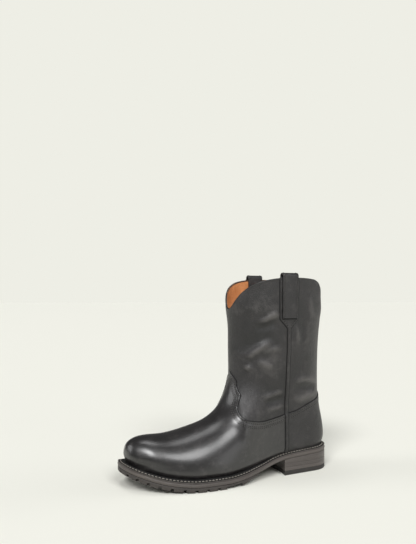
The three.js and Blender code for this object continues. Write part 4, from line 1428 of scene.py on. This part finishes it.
def forepart_sole():
    rubber_edge = [
        (0.9, tread, 0),
        (0.2, tread, 0.3),
        (0, tread, 1),
        (0, forepart_top, -0.6),
        (0.2, forepart_top, -0.15),
        (0.6, forepart_top, 0),
    ]
    body = layer("forepart_sole", rubber_edge)
    shape = bmesh.new()
    far = np.array([-400.0, 0.0])
    block(shape, far, np.array([forepart_back, 0.0]), 400, -40, 80)
    run = lug_pitch / 2
    for j in range(sole_stations):
        here = sole_edge[j]
        run += float(np.linalg.norm(sole_edge[(j + 1) % sole_stations] - here))
        if here[0] < forepart_full - lug_groove or run < lug_pitch:
            continue
        run -= lug_pitch
        low = float(tread(here[0]))
        start, end = here - sole_inward[j] * past_edge, here + sole_inward[j] * lug_reach
        block(shape, start, end, lug_groove, low - past_tread, low + lug_depth)
    x = forepart_full + lug_groove
    while x < edge_front - 2 * lug_reach:
        middle = float(swing(x))
        start = np.array([x, middle - bar_length / 2])
        end = np.array([x, middle + bar_length / 2])
        low = float(tread(x))
        block(shape, start, end, lug_groove, low - past_tread, low + lug_depth)
        x += lug_pitch
    bmesh.ops.recalc_face_normals(shape, faces=shape.faces)
    cutters = bpy.data.meshes.new("grooves")
    shape.to_mesh(cutters)
    shape.free()
    return carved(body, cutters, "forepart")


rubber_tones = ((0.03, 0.026, 0.024), (0.05, 0.043, 0.039))
sole_rubber = leather("moulded sole rubber", rubber_tones, 0.55, 0.3)
finished(forepart_sole(), sole_rubber, "sole_rubber", "outsole")

# The heel: three leather lifts, pegged, glued and trimmed together, over a rubber top lift, all
# hollowed a little at the breast.
top_lift_thick = 6
lift_thick = 5
breast_hollow = 4.5


def heel_outline():
    """The heel's edge in plan from the outer breast corner round the back and home."""
    half = sole_stations // 2
    keep = [j for j in range(-half, half + 1) if sole_edge[j % sole_stations, 0] < breast_x]
    line = sole_edge[[j % sole_stations for j in keep][::-1]]
    out_y = float(np.interp(breast_x, sole_edge[:half, 0], sole_edge[:half, 1]))
    in_y = float(np.interp(breast_x, sole_edge[:half:-1, 0], sole_edge[:half:-1, 1]))
    hollow = []
    for s in np.linspace(-1, 1, 17):
        x = breast_x - breast_hollow * (1 - s * s)
        hollow.append([x, (in_y + out_y) / 2 + (out_y - in_y) / 2 * s])
    return np.array([[breast_x, out_y]] + [list(p) for p in line] + hollow[:-1])


def heel_piece(name, low, high, soft=0.35):
    """A lift between two heights, each a function of length, with its rims a little rounded."""
    rows = [
        (1.6 * soft, low, 0),
        (0.3 * soft, low, 0.3 * soft),
        (0, low, soft),
        (0, high, -soft),
        (0.3 * soft, high, -0.3 * soft),
        (1.6 * soft, high, 0),
    ]
    base = heel_outline()
    way = unit(np.roll(base, -1, 0) - np.roll(base, 1, 0))
    inward = np.stack([-way[:, 1], way[:, 0]], axis=-1)
    size = len(base)
    faces = [tuple(range(size)), tuple(range((len(rows) - 1) * size, len(rows) * size))]
    faces += skin(len(rows), size)
    return piece(name, edge_rings(base, inward, rows), faces, 35)


def heel_layer(number):
    """Height of the top of a lift by length; the top lift is number 0."""
    if number == 3:
        return lambda x: midsole_bottom(x) - joint
    return lambda x: np.full(np.shape(x), float(top_lift_thick + lift_thick * number))


top_lift_tones = ((0.017, 0.015, 0.014), (0.032, 0.028, 0.026))
top_lift_rubber = leather("top lift rubber", top_lift_tones, 0.6, 0.3)
top_lift = heel_piece("heel_top_lift", np.zeros_like, heel_layer(0), 0.5)
finished(top_lift, top_lift_rubber, "sole_rubber", "top_lift")
for number in (1, 2, 3):
    lift = heel_piece("heel_stack_lift_%d" % number, heel_layer(number - 1), heel_layer(number))
    finished(lift, sole_leather, "sole_leather", "heel_lift_%d" % number)
